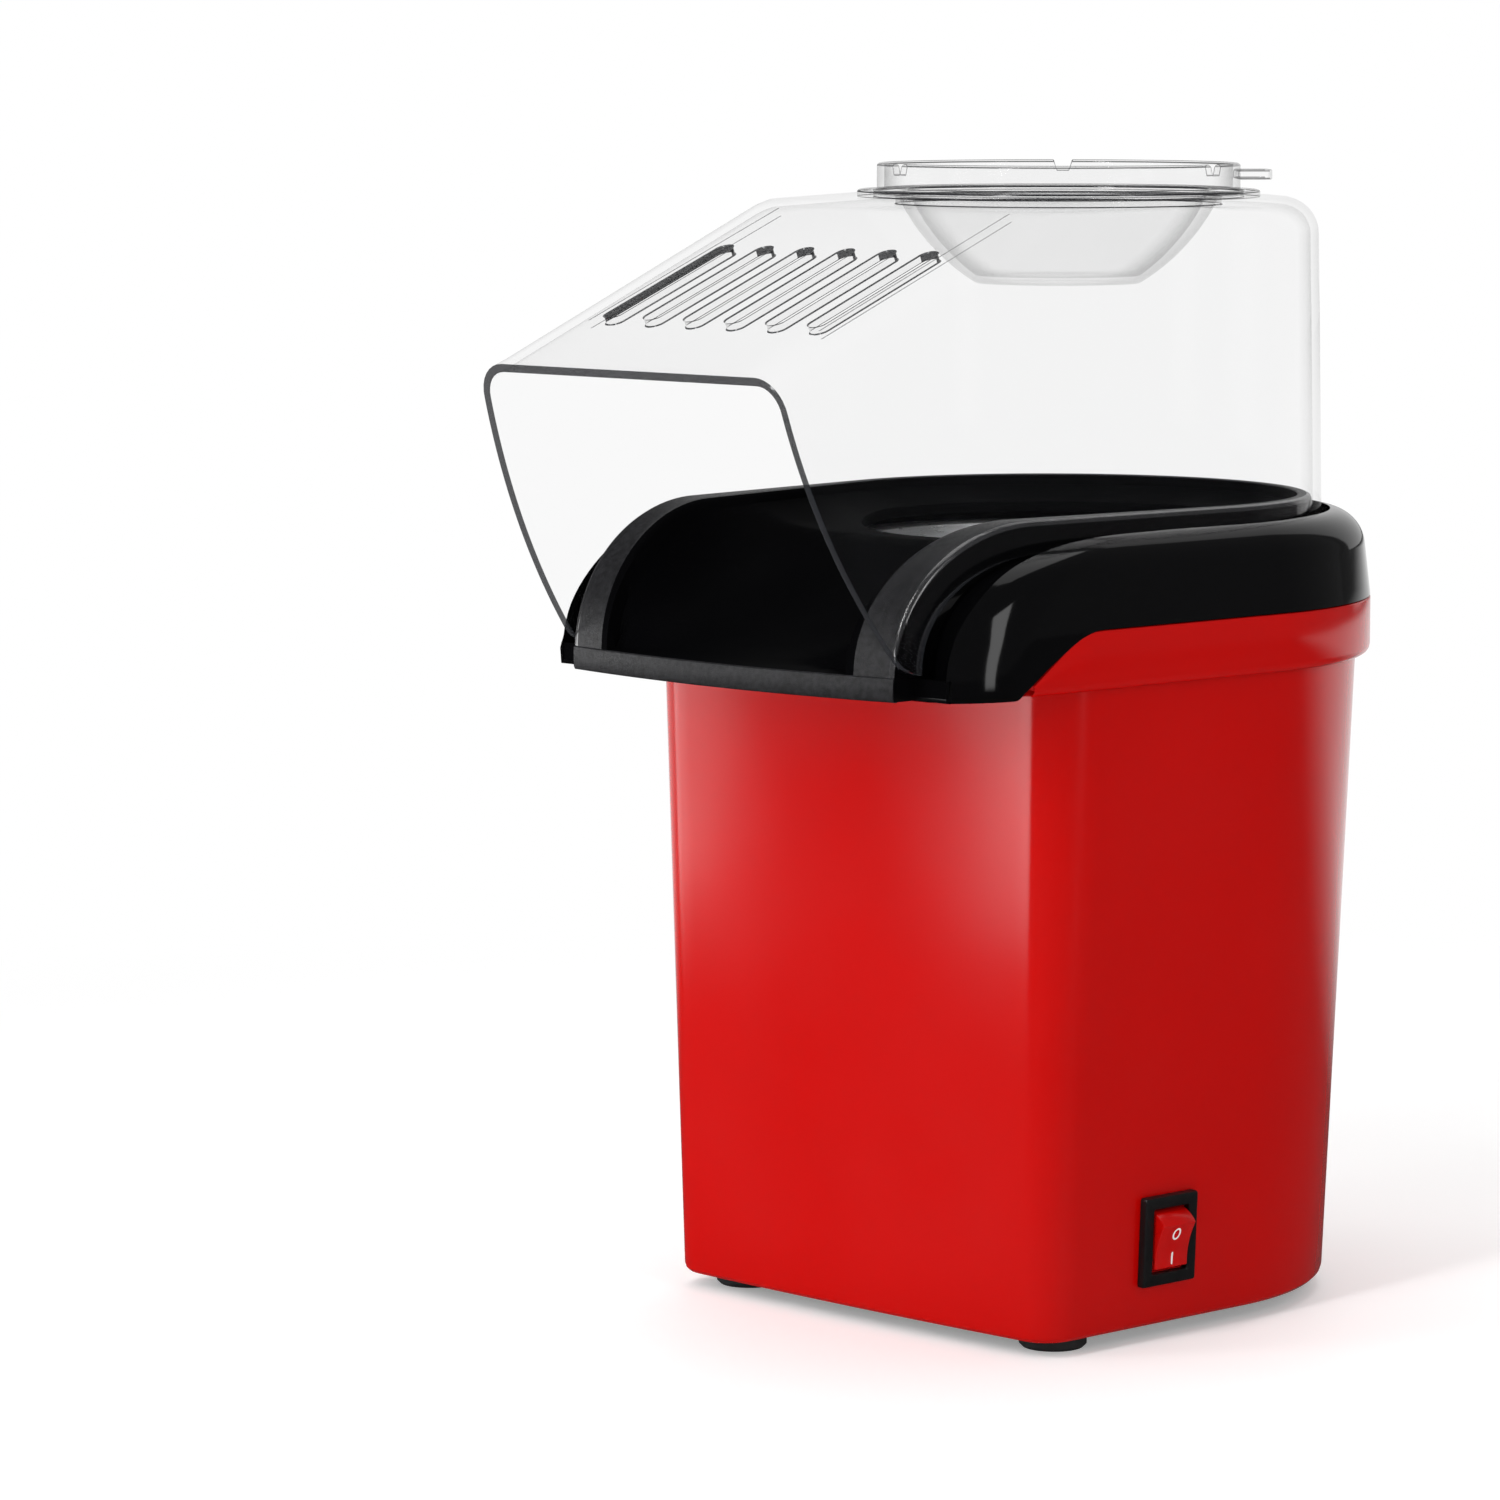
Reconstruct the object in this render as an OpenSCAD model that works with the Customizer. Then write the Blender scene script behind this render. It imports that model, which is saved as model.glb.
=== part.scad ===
// Hot-air popcorn maker: drafted housing with a pouring collar, a clear hood,
// a measuring cup in the hood's top, and the chamber, heater, motor and fan inside.
// X is across the machine, -Y is the pouring side, Z is up from the feet.

/* [Housing] */
// Width of the housing at its bottom edge
base_w = 133; // [125:1:140]
// Width of the housing just under the rim
top_w = 146; // [140:1:148]
// Reach of the front wall from the chamber axis, at the bottom
base_front = 72.5; // [68:0.5:80]
// Reach of the front wall from the chamber axis, just under the rim
top_front = 75; // [72:0.5:86]
// Height of the housing from its bottom edge to the rim's step
body_h = 153.5; // [140:0.5:170]
// Convergence of the sides of housing, rim and collar toward the lip, in degrees
plan_lean = 4; // [2:0.5:5]
// Radius of the housing's front corners at the bottom
corner_r = 9; // [7:0.5:16]
// Radius of the housing's front corners just under the rim
corner_top_r = 13; // [10:0.5:18]
// Radius of the shallow bow of the front wall
front_bow_r = 1300; // [700:50:3000]
// Wall thickness of the housing, rim and collar
wall = 2.5; // [1.8:0.1:3]
// Rounding of the bottom edge
bottom_round = 1.5; // [0.5:0.1:2]

/* [Rim and collar] */
// Width across the rim and the collar
rim_w = 153; // [150:1:160]
// Height of the red rim band
rim_h = 14; // [11:0.5:17]
// Reach of the pouring lip from the chamber axis
lip_reach = 118; // [110:1:126]
// Radius of the lip's shallow front arc
lip_bow_r = 279; // [200:1:400]
// Radius of the collar's front corners
lip_corner_r = 26; // [18:1:28]
// Radius of the collar's front corners at the shoulder's height
crest_corner_r = 34; // [26:1:38]
// Height of the lip's front band
lip_h = 5.7; // [4:0.1:7]
// Height of the collar's shoulder above the lip band
shoulder_h = 29.7; // [26:0.1:34]
// Height of the rail above the shoulder
rail_rise = 3.5; // [2:0.1:5]
// Rounding of the shoulder's outer edge
shoulder_round = 8; // [4:0.5:10]
// Loss of radius of the collar's wall from the rim up to the shoulder
shoulder_taper = 2.5; // [0:0.5:3]
// Distance from the chamber axis to where the rails start to fall
rail_crest = 70; // [62:1:78]
// Depth of the hood's groove below the shoulder
groove_deep = 4.7; // [3.5:0.1:6]
// Width of the groove round the back
groove_w = 4.5; // [4:0.1:5.5]
// Width of the channel that takes the hood's foot at the lip
channel_w = 10; // [8:0.5:12]
// Width of the rail ring round the back
rail_w = 4; // [3:0.1:5]
// Width of the rail at the lip
rail_front_w = 12.5; // [9:0.5:14]
// Height of the chamber's edge of the funnel below the rail's top
funnel_drop = 8.2; // [6:0.1:10]
// Sharpness of the trough's side walls
trough_power = 5; // [3:1:8]
// Gap left at the seam between the rim and the collar
seam = 0.2; // [0.1:0.05:0.4]
// Slope angle of the seam where the collar reaches down to the lip
seam_angle = 37; // [30:1:45]

/* [Hood] */
// Outer radius of the hood at the groove
hood_r = 64.5; // [62:0.5:66]
// Loss of radius up to the hood's top edge
hood_draft = 1.5; // [0.5:0.1:3]
// Height of the hood's flat top above the shoulder
hood_h = 75.3; // [68:0.1:84]
// Wall thickness of the hood
hood_wall = 2; // [1.6:0.1:2.6]
// Rounding of the hood's top edge
hood_round = 9; // [6:0.5:12]
// Convergence of the spout's sides, in degrees
spout_lean = 5.3; // [4:0.1:6.5]
// Reach of the mouth's top edge from the chamber axis
mouth_reach = 147; // [138:1:156]
// Drop from the hood's flat top to the mouth's top edge
mouth_drop = 37; // [30:1:44]
// Half width of the mouth at its top edge
mouth_half_w = 48.5; // [44:0.5:50]
// Rounding of the mouth's top corners
mouth_round = 8; // [5:0.5:10]
// Bow radius of the mouth's side edges
mouth_bow_r = 166; // [120:1:260]
// Reach of the slope's upper edge from the chamber axis
slope_reach = 52.5; // [46:0.5:58]
// Half width of the spout at the slope's upper edge
slope_half_w = 56; // [50:0.5:58]
// Rounding of the spout's upper edges
slope_round = 12; // [8:0.5:14]
// Clearance between the hood and the collar
hood_gap = 0.5; // [0.3:0.1:0.8]
// Number of steam slots
slot_count = 6; // [3:1:7]
// Distance between the steam slots
slot_pitch = 13.16; // [10:0.01:13.5]
// Width of a steam slot
slot_w = 4.8; // [3:0.1:6]
// Length of a steam slot
slot_len = 43.5; // [30:0.5:52]
// Distance from the slope's upper edge to the slots, along the slope
slot_start = 29.5; // [22:0.5:32]

/* [Measuring cup] */
// Outer radius of the cup's rim
cup_r = 44; // [40:0.5:46]
// Height of the cup's rim above the hood's flat top
cup_h = 8; // [6:0.1:11]
// Depth of the bowl below the hood's flat top
cup_deep = 21; // [15:0.5:26]
// Radius of the bowl's flat bottom
cup_floor_r = 20; // [14:0.5:26]
// Outer radius of the bowl where it passes the hood's top
bowl_r = 38.5; // [35:0.5:39.5]
// Radius of the outward bow of the bowl's side
bowl_bow_r = 50; // [35:1:80]
// Wall thickness of the cup
cup_wall = 1.8; // [1.4:0.1:2.2]
// Radial clearance round the cup in the hood's opening
cup_gap = 1; // [0.5:0.1:2]
// Height of the hood's locating ring
ring_h = 1.6; // [1:0.1:2.5]
// Width of the hood's locating ring
ring_w = 4; // [3:0.5:6]
// Reach of the cup's thumb tab beyond the rim
tab_reach = 7.5; // [5:0.5:12]
// Width of the thumb tab
tab_w = 14; // [10:1:20]

/* [Chamber and heater] */
// Inner radius of the popping chamber at its top
chamber_r = 45.5; // [42:0.5:47]
// Inner radius of the popping chamber at its floor
chamber_floor_r = 43; // [38:0.5:45]
// Wall thickness of the popping chamber
chamber_wall = 1; // [0.8:0.1:1.5]
// Number of slanted air louvres in the chamber's wall
louvre_count = 20; // [12:1:24]
// Length of an air louvre
louvre_len = 11; // [7:0.5:14]
// Width of an air louvre
louvre_w = 2; // [1.5:0.1:2.5]
// Radius of the hole in the collar over the chamber
hole_r = 47.5; // [46:0.5:49]
// Outer radius of the heater duct
duct_r = 54.5; // [52:0.5:56]
// Wall thickness of the heater duct
duct_wall = 1.2; // [0.8:0.1:1.6]
// Height of the mica former
mica_h = 23.1; // [20:0.1:26]
// Height of the winding
winding_h = 16; // [12:1:20]
// Turns of the heater's winding
winding_turns = 5; // [3:1:7]
// Thickness of the heater's wire, as coiled
wire_d = 2.4; // [2:0.1:3]

/* [Motor and fan] */
// Outer radius of the motor's can
motor_r = 17.5; // [14:0.5:20]
// Length of the motor's can
motor_len = 34; // [28:1:38]
// Radius of the motor's shaft
shaft_r = 1.6; // [1.2:0.1:2.5]
// Radius of the fan
fan_r = 46; // [38:0.5:47]
// Height of the fan's blades
blade_h = 11; // [8:0.5:13]
// Number of fan blades
blade_count = 9; // [6:1:11]
// Thickness of a fan blade
blade_t = 1.4; // [1:0.1:2]
// Thickness of the fan case's floor
case_floor = 2.5; // [2:0.1:3.5]
// Height of the motor's lower end above the table
motor_z = 16; // [14:0.5:18]

/* [Switch] */
// Height of the switch's centre above the table
switch_z = 24.5; // [22:0.1:34]
// Distance of the switch's centre in front of the chamber axis
switch_y = 33.5; // [28:0.5:40]
// Height of the switch's bezel
bezel_h = 21.5; // [19:0.5:24]
// Width of the switch's bezel
bezel_w = 17.5; // [15:0.5:19]
// Thickness of the switch's bezel
bezel_t = 2; // [1.5:0.1:2.5]
// Width of the bezel's border round the rocker
bezel_border = 3; // [2:0.1:3.5]
// Tilt of the rocker from its middle, in degrees
rocker_tilt = 13; // [8:1:14]
// Depth of the switch's body behind the wall
switch_deep = 14; // [12:0.5:18]

/* [Base] */
// Height of the feet under the housing
foot_h = 3.5; // [2.5:0.1:6]
// Radius of a foot
foot_r = 8; // [6:0.5:9]
// Half distance between the front feet
foot_x = 50; // [46:0.5:52]
// Distance of the front feet in front of the chamber axis
foot_front = 56; // [50:0.5:58]
// Distance of the rear feet from the chamber axis
foot_rear_r = 52; // [48:0.5:54]
// Angle of the rear feet behind the machine's middle line across
rear_foot_angle = 32; // [26:1:38]
// Thickness of the base plate
plate_t = 2.5; // [2:0.1:3.5]
// Gap round the base plate in the housing
plate_gap = 0.3; // [0.2:0.05:0.5]
// Number of air slots on each side of the base plate's middle
inlet_slots = 5; // [3:1:6]
// Radius of the hole through the cord's bushing
cord_hole_r = 3.5; // [3:0.1:4.5]
// Height of the cord's bushing above the table
cord_z = 22; // [18:0.5:34]

/* [Hidden] */
$fn = 64;

// Clearance under parts that rest in one another, and between faces that touch
seat = 0.3;
touch = 0.05;
// Overlap of joined pieces of one body, and small edge roundings
lap = 0.5;
edge_round = 0.6;
// Screws: shank, pilot hole, clearance hole, and head
screw_r = 1.2;
pilot_r = 1.3;
clear_r = 1.8;
head_r = 3.2;
head_h = 1.2;
// Radial play of the motor's shaft and of the rocker's pin
shaft_play = 0.05;
// Length of cuts that run right through
cut_long = 200;
fan_disc_t = 1.4;
ring_t = 2;
// Steps of the U-shaped plan: rear arc, each corner, front bow
rear_steps = 30;
corner_steps = 6;
front_steps = 10;

// Levels, up from the table
body_z0 = foot_h;
body_z1 = body_z0 + body_h;
rim_z1 = body_z1 + rim_h;
lip_z0 = body_z1 - lap;
lip_z1 = lip_z0 + lip_h;
shoulder_z = lip_z1 + shoulder_h;
rail_z = shoulder_z + rail_rise;
groove_z = shoulder_z - groove_deep;
funnel_z = rail_z - funnel_drop;
hood_z0 = groove_z + seat;
hood_z1 = shoulder_z + hood_h;
cup_z1 = hood_z1 + cup_h;
flange_z = funnel_z - wall - 1.5;
plate_z1 = body_z0 + plate_t;

// The origin is under the middle of the machine's footprint
rim_r = rim_w / 2;
axis_y = (mouth_reach - rim_r) / 2;

// Plan radii of the groove, the rail and the funnel
rail_out_r = hood_r - hood_wall - hood_gap;
rail_in_r = rail_out_r - rail_w;
groove_out_r = rail_out_r + groove_w;
lip_bow = 6.5;
arc_reach = lip_reach - rail_crest - lip_bow;
shelf_reach = rail_crest + arc_reach - groove_deep - wall - 0.8;

// Levels of the motor, the fan and the heater
motor_z1 = motor_z + motor_len;
case_z0 = motor_z1 + 0.1;
case_z1 = case_z0 + case_floor;
fan_z0 = case_z1 + 4;
fan_z1 = fan_z0 + fan_disc_t + blade_h;
ring_z0 = fan_z1 + 5;
mica_z0 = ring_z0 + ring_t + 0.1;
case_top = mica_z0 + 14;
mica_top = mica_z0 + mica_h;
// The chamber's floor stands over the thermostat's room, and its depth fills the rest
lead_room = 13;
chamber_z0 = mica_top + lead_room + chamber_wall;

// Half width at reach y of a side line that leaves a circle r at an angle
function half_w(r, lean, y) = (r - y * sin(lean)) / cos(lean);
// Angle at which a side line leaves a circle r to be half as wide as w at reach y
function lean_to(r, w, y) = 2 * atan((y - sqrt(y * y + w * w - r * r)) / (w + r));

rail_front = half_w(hood_r, spout_lean, lip_reach - lip_bow) - hood_wall - hood_gap;
rail_in_lean = lean_to(rail_in_r, rail_front - rail_front_w, lip_reach - lip_bow);
groove_out_lean = lean_to(groove_out_r, rail_front + channel_w, lip_reach - lip_bow);

// U-shaped plan: a round rear of radius r, sides that lean in, and a bowed front
function u_plan(r, lean, front, corner, bow) =
  let (
    yc = bow - front,
    q = r - corner + yc * sin(lean),
    s = sqrt(pow(bow - corner, 2) - q * q) - yc * cos(lean),
    cx = (r - corner) * cos(lean) - s * sin(lean),
    cy = -(r - corner) * sin(lean) - s * cos(lean),
    turn = atan2(cy - yc, cx)
  )
  concat(
    [for (i = [0 : rear_steps])
      let (a = -lean + i * (180 + 2 * lean) / rear_steps) r * [cos(a), sin(a)]],
    [for (i = [0 : corner_steps])
      let (a = 180 + lean - i * (turn + lean) / corner_steps)
      [corner * cos(a) - cx, cy + corner * sin(a)]],
    [for (i = [1 : front_steps - 1])
      let (a = 180 - turn + i * (180 + 2 * turn) / front_steps)
      [bow * cos(a), yc + bow * sin(a)]],
    [for (i = [0 : corner_steps])
      let (a = turn - i * (turn + lean) / corner_steps)
      [cx + corner * cos(a), cy + corner * sin(a)]]
  );

function at_z(outline, z) = [for (p = outline) [p.x, p.y, z]];

// Quarter-ellipse side line of the collar: reach and height at an angle from the top
function fall(angle, height) = [
  rail_crest + lip_bow + arc_reach * sin(angle),
  lip_z1 + height * cos(angle)
];
// Height of a quarter-ellipse side line over the reach y
function fall_z(y, height) =
  let (t = (y - rail_crest) / arc_reach)
  t <= 0 ? lip_z1 + height : lip_z1 + height * sqrt(max(0, 1 - t * t));

// Points of an arc of radius r from p to q, bulging to the right of the way
function arc_between(p, q, r, steps) =
  let (
    m = (p + q) / 2,
    d = norm(q - p) / 2,
    n = [q.y - p.y, p.x - q.x] / (2 * d),
    c = m - n * sqrt(r * r - d * d),
    half = asin(d / r),
    mid = atan2(n.y, n.x)
  )
  [for (i = [0 : steps]) let (a = mid - half + 2 * half * i / steps) c + r * [cos(a), sin(a)]];

// Solid skin through rings that all have the same number of points
module skin(rings, closed = false) {
  n = len(rings[0]);
  m = len(rings);
  links = closed ? m : m - 1;
  walls = [
    for (j = [0 : links - 1], i = [0 : n - 1])
      let (k = (j + 1) % m, h = (i + 1) % n)
      each [[j * n + i, k * n + i, k * n + h], [j * n + i, k * n + h, j * n + h]]
  ];
  caps = closed ? [] : [[for (i = [0 : n - 1]) i], [for (i = [n - 1 : -1 : 0]) (m - 1) * n + i]];
  polyhedron(points = [for (r = rings) each r], faces = concat(walls, caps));
}

// Everything is drawn about the chamber's axis and moved to the footprint's middle
module place() translate([0, axis_y, 0]) children();

// Prism across X whose outline is given as points [y, z]
module side_prism(points, width) {
  rotate([90, 0, 90]) linear_extrude(width, center = true) polygon(points);
}

// Ring about Z
module tube(r_out, r_in, h) {
  difference() {
    cylinder(r = r_out, h = h);
    translate([0, 0, -1]) cylinder(r = r_in, h = h + 2);
  }
}

// Flat bar with round ends, centred
module round_slot(length, width, height) {
  linear_extrude(height, center = true) {
    square([length - width, width], center = true);
    for (side = [-1, 1]) translate([side * (length - width) / 2, 0]) circle(d = width, $fn = 24);
  }
}

// Cross-slotted screw with its head down at z = 0 and its shank up
module screw(r, length, head_r, head_h) {
  difference() {
    union() {
      cylinder(r = head_r, h = head_h);
      cylinder(r = r, h = head_h + length);
    }
    for (a = [0, 90]) rotate(a) translate([-head_r, -0.4, -1]) cube([2 * head_r, 0.8, 1.6]);
  }
}

/* ---- Housing ---- */

// Share of the housing's height at level z
function draft_share(z) = (z - body_z0) / body_h;
function body_half(z) = (base_w + (top_w - base_w) * draft_share(z)) / 2;
function body_front(z) = base_front + (top_front - base_front) * draft_share(z);
function body_corner(z) = corner_r + (corner_top_r - corner_r) * draft_share(z);
function body_plan(z, inset) = u_plan(
  body_half(z) - inset, plan_lean, body_front(z) - inset, body_corner(z) - inset, front_bow_r);
function body_ring(z, inset) = at_z(body_plan(z, inset), z);

function rim_plan(inset) =
  u_plan(rim_r - inset, plan_lean, lip_reach - inset, lip_corner_r - inset, lip_bow_r);
function rim_ring(z, inset) = at_z(rim_plan(inset), z);

// Side line of the seam between the rim and the collar, shifted down by gap
seam_run = (rim_z1 - lip_z0) / tan(seam_angle);
seam_y0 = rail_crest + 2.2;
function seam_line(gap) = [
  [seam_y0 - 7, rim_z1 - gap],
  [seam_y0 - 1.5, rim_z1 - 0.7 - gap],
  [seam_y0 + 4, rim_z1 - 4 * tan(seam_angle) - gap],
  [seam_y0 + seam_run, lip_z0 - gap]
];

// Places of the four base screws and the radius of their bosses
boss_r = 4.5;
boss_len = 16;
boss_gap = 1;
front_boss_y = switch_y - bezel_w / 2 - boss_gap - boss_r;
screw_spots = [for (side = [-1, 1]) each [[side * 56, -front_boss_y], [side * 24, 50]]];

// Rounding of the rim's lower edge
rim_fillet = 2.2;

// Band round the top, set proud of the housing's wall
module rim_band() {
  intersection() {
    skin([
      rim_ring(body_z1, rim_fillet), rim_ring(body_z1 + 0.3 * rim_fillet, 0.3 * rim_fillet),
      rim_ring(body_z1 + rim_fillet, 0), rim_ring(rim_z1 + 2, 0), rim_ring(rim_z1 + 2, wall),
      rim_ring(body_z1 + wall, wall), rim_ring(body_z1 + wall, 2 * wall),
      rim_ring(body_z1, 2 * wall)
    ], closed = true);
    side_prism(concat(
      [[rim_r + 1, body_z1 - 1], [rim_r + 1, rim_z1]],
      [for (p = seam_line(0)) [-p.x, p.y]],
      [[-seam_y0 - seam_run, body_z1 - 1]]
    ), 2 * rim_w);
  }
}

// Shelf that closes the overhang under the pouring lip
module lip_shelf() {
  translate([0, 0, body_z1]) linear_extrude(wall) difference() {
    union() {
      polygon(u_plan(rim_r - wall - seam, plan_lean, shelf_reach, lip_corner_r - wall, lip_bow_r));
      intersection() {
        polygon(rim_plan(wall + lap));
        translate([-rim_w, -seam_y0]) square(2 * rim_w);
      }
    }
    polygon(body_plan(body_z1, wall + lap));
  }
}

module housing() {
  color("firebrick") place() difference() {
    union() {
      skin([
        body_ring(body_z0, wall), body_ring(body_z0, bottom_round),
        body_ring(body_z0 + 0.4 * bottom_round, 0.4 * bottom_round),
        body_ring(body_z0 + bottom_round, 0), body_ring(body_z1 + wall / 2, 0),
        body_ring(body_z1 + wall / 2, wall)
      ], closed = true);
      rim_band();
      lip_shelf();
      for (p = screw_spots) boss(p);
    }
    at_switch() translate([-10, 1.5 - bezel_w / 2, 1.5 - bezel_h / 2])
      cube([20, bezel_w - 3, bezel_h - 3]);
    translate([0, 0, cord_z]) rotate([-90, 0, 0]) cylinder(r = cord_hole_r + 2, h = cut_long);
    for (p = screw_spots)
      translate([p.x, p.y, plate_z1 - 1]) cylinder(r = pilot_r, h = boss_len - 2);
  }
}

// Screw boss with a web to the nearest wall
module boss(p) {
  reach = body_half(plate_z1) - wall + lap;
  dir = p.y < 0 ? [sign(p.x), 0] : p / norm(p);
  gap = p.y < 0 ? half_w(reach, plan_lean, -p.y) - abs(p.x) : reach - norm(p);
  translate([p.x, p.y, plate_z1 + seat]) {
    cylinder(r = boss_r, h = boss_len);
    rotate(atan2(dir.y, dir.x)) translate([0, -1, 0]) cube([gap, 2, boss_len]);
  }
}

/* ---- Base ---- */

foot_spots = concat(
  [for (side = [-1, 1]) [side * foot_x, -foot_front]],
  [for (side = [-1, 1]) foot_rear_r * [side * cos(rear_foot_angle), sin(rear_foot_angle)]]
);

module base_plate() {
  inset = wall + plate_gap;
  color("#1a1a1c") place() difference() {
    translate([0, 0, body_z0]) linear_extrude(plate_t) polygon(body_plan(body_z0, inset));
    for (side = [-1, 1], i = [0 : inlet_slots - 1])
      translate([side * (8 + i * 7), -4, body_z0])
        rotate(90) round_slot(78 - i * 9, 3.4, 10);
    translate([0, -4, body_z0]) rotate(90) round_slot(78, 3.4, 10);
    for (p = screw_spots) translate([p.x, p.y, 0]) {
      cylinder(r = clear_r, h = 20);
      cylinder(r = head_r + 0.4, h = body_z0 + head_h + touch);
    }
    for (p = foot_spots) translate([p.x, p.y, 0]) cylinder(r = 2.6, h = 20);
  }
}

module feet() {
  color("#222224") place() for (p = foot_spots) translate([p.x, p.y, 0]) {
    rotate_extrude() polygon([
      [0, 0], [foot_r - 0.8, 0], [foot_r, 0.8], [foot_r, foot_h], [2.5, foot_h],
      [2.5, plate_z1], [3.4, plate_z1 + 0.4], [1.6, plate_z1 + 3], [0, plate_z1 + 3]
    ]);
  }
}

module base_screws() {
  color("silver") place() for (p = screw_spots)
    translate([p.x, p.y, body_z0]) screw(screw_r, 11, head_r, head_h);
}

/* ---- Collar ---- */

skirt_deep = 6;
hang_angles = [-8, 58, 122, 188];
skirt_t = 2;
duct_rim = 2;
ear_t = 2;
ear_drop = 7.2;
// The duct's ears stand below its rim, half way between the duct and the skirt
ear_z = flange_z - ear_drop;
hang_r = (duct_r + duct_rim + rim_r - wall - skirt_t) / 2;

// Inset of the collar's outline at level z: its taper and the shoulder's rounding
function inset_at(z) =
  let (
    d = z - (shoulder_z - shoulder_round),
    taper = shoulder_taper * max(0, z - rim_z1) / (shoulder_z - rim_z1)
  )
  taper + (d <= 0 ? 0 : shoulder_round - sqrt(max(0, shoulder_round * shoulder_round - d * d)));
function collar_corner(z) =
  lip_corner_r + (crest_corner_r - lip_corner_r) * (z - lip_z1) / shoulder_h;

// Block under the shoulder, whose front falls as a quarter ellipse
module shoulder_block() {
  skin(concat(
    [rim_ring(lip_z0, edge_round), rim_ring(lip_z0 + edge_round, 0), rim_ring(lip_z1, 0)],
    [for (a = [80 : -10 : 0]) let (p = fall(a, shoulder_h)) at_z(
      u_plan(rim_r - inset_at(p.y), plan_lean, p.x, collar_corner(p.y), lip_bow_r), p.y)]
  ));
}

module rail_block() {
  height = rail_z - lip_z1;
  round_top = [1.2, 4];
  skin(concat(
    [for (z = [lip_z0 + 1, lip_z1])
      at_z(u_plan(rail_out_r, spout_lean, lip_reach, round_top.y, lip_bow_r), z)],
    [for (a = [80 : -10 : 0]) let (p = fall(a, height))
      at_z(u_plan(rail_out_r - (a == 0 ? round_top.x : 0), spout_lean,
        p.x - (a == 0 ? round_top.x : 0), round_top.y, lip_bow_r), p.y)]
  ));
}

// Points [y, z] of the side line that lies below the shoulder's fall by drop
function low_line(drop) = [
  for (a = [0 : 10 : 90])
    [-rail_crest - (arc_reach - drop) * sin(a), lip_z1 + (shoulder_h - drop) * cos(a)]
];

module groove_cut() {
  intersection() {
    translate([0, 0, lip_z0 - 5]) linear_extrude(rail_z) polygon(
      u_plan(groove_out_r, groove_out_lean, lip_reach + 20, 5, lip_bow_r));
    side_prism(concat(
      [[rim_r, rail_z + 5], [rim_r, groove_z]], low_line(groove_deep),
      [[-lip_reach + 11, lip_z0 - 5], [-lip_reach - 30, lip_z0 - 5], [-lip_reach - 30, rail_z + 5]]
    ), 2 * rim_w);
  }
}

// Radius of the chamber's flange, and the reach, clear of it, at which the funnel starts to fall
flange_r = 54;
trough_start = flange_r + 1.5;
// Height of the trough's middle line over the reach y
function trough_z(y) =
  let (t = (lip_reach - y) / (lip_reach - trough_start))
  t >= 1 ? funnel_z : t <= 0 ? lip_z1 : lip_z1 + (funnel_z - lip_z1) * pow(t, 1.4);
// Height of the rails' inner edge over the reach y
function rail_edge_z(y) = fall_z(y, rail_z - lip_z1 - 2.5);
// Height of the funnel and the trough at a point of the plan
function floor_z(p) =
  let (u = p.y >= 0 ? norm(p) / rail_in_r : abs(p.x) / half_w(rail_in_r, rail_in_lean, -p.y))
  trough_z(-p.y) + (rail_edge_z(-p.y) - trough_z(-p.y)) * pow(min(1, u), trough_power);

function at_floor(plan) = [for (p = plan) [p.x, p.y, floor_z(p)]];

// Outline with each long straight side cut into short ones
function divided(plan) = [
  for (i = [0 : len(plan) - 1])
    let (a = plan[i], b = plan[(i + 1) % len(plan)], n = norm(b - a) > 20 ? 9 : 1)
    for (k = [0 : n - 1]) a + (b - a) * k / n
];

// Everything above the funnel and the trough, with the chamber's hole
module trough_cut(down = 0) {
  edge = divided(u_plan(rail_in_r, rail_in_lean, lip_reach + 20, 3, lip_bow_r));
  crest = divided(u_plan(rail_out_r - 1.2, spout_lean, lip_reach + 20, 3, lip_bow_r));
  hole = [for (p = edge) hole_r * p / norm(p)];
  first = [for (p = edge) min(0.9, (trough_start - hole_r) / (norm(p) - hole_r))];
  translate([0, 0, -down]) skin(concat(
    [at_z(hole, lip_z0 - 20)],
    [at_floor(hole)],
    [for (k = [0, 0.15, 0.32, 0.5, 0.68, 0.84, 0.94, 1])
      at_floor([for (i = [0 : len(edge) - 1])
        hole[i] + (first[i] + k * (1 - first[i])) * (edge[i] - hole[i])])],
    [[for (p = crest) [p.x, p.y, fall_z(-p.y, rail_z - lip_z1)]], at_z(crest, rail_z + 20)]
  ));
}

module collar_hollow() {
  difference() {
    intersection() {
      translate([0, 0, lip_z0 - 5]) linear_extrude(rail_z) polygon(rim_plan(wall));
      side_prism(concat(
        [[rim_r, lip_z0 - 5], [rim_r, groove_z - wall]], low_line(groove_deep + wall),
        [[-lip_reach + 14, lip_z0 - 5]]
      ), 2 * rim_w);
    }
    trough_cut(wall);
  }
}

// Skirt that drops inside the rim, and the bosses that the heater duct hangs from
module collar_fittings() {
  intersection() {
    union() {
      skirt_ring(rim_z1 - skirt_deep, rim_z1 + 1, wall + seat);
      skirt_ring(rim_z1 + seam, groove_z - wall + lap, wall + shoulder_taper / 2);
    }
    translate([-rim_w, 10 - rail_crest, 0]) cube([2 * rim_w, rim_w, rail_z]);
  }
  for (a = hang_angles) rotate(a) translate([hang_r, 0, ear_z + touch]) difference() {
    cylinder(r = 4, h = groove_z - wall + lap - ear_z - touch);
    translate([0, 0, -1]) cylinder(r = pilot_r, h = 10);
  }
}

module skirt_ring(z0, z1, inset) {
  translate([0, 0, z0]) linear_extrude(z1 - z0) difference() {
    polygon(rim_plan(inset));
    polygon(rim_plan(wall + skirt_t));
  }
}

module collar() {
  color("#151517") place() {
    collar_shell();
    collar_fittings();
  }
}

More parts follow.
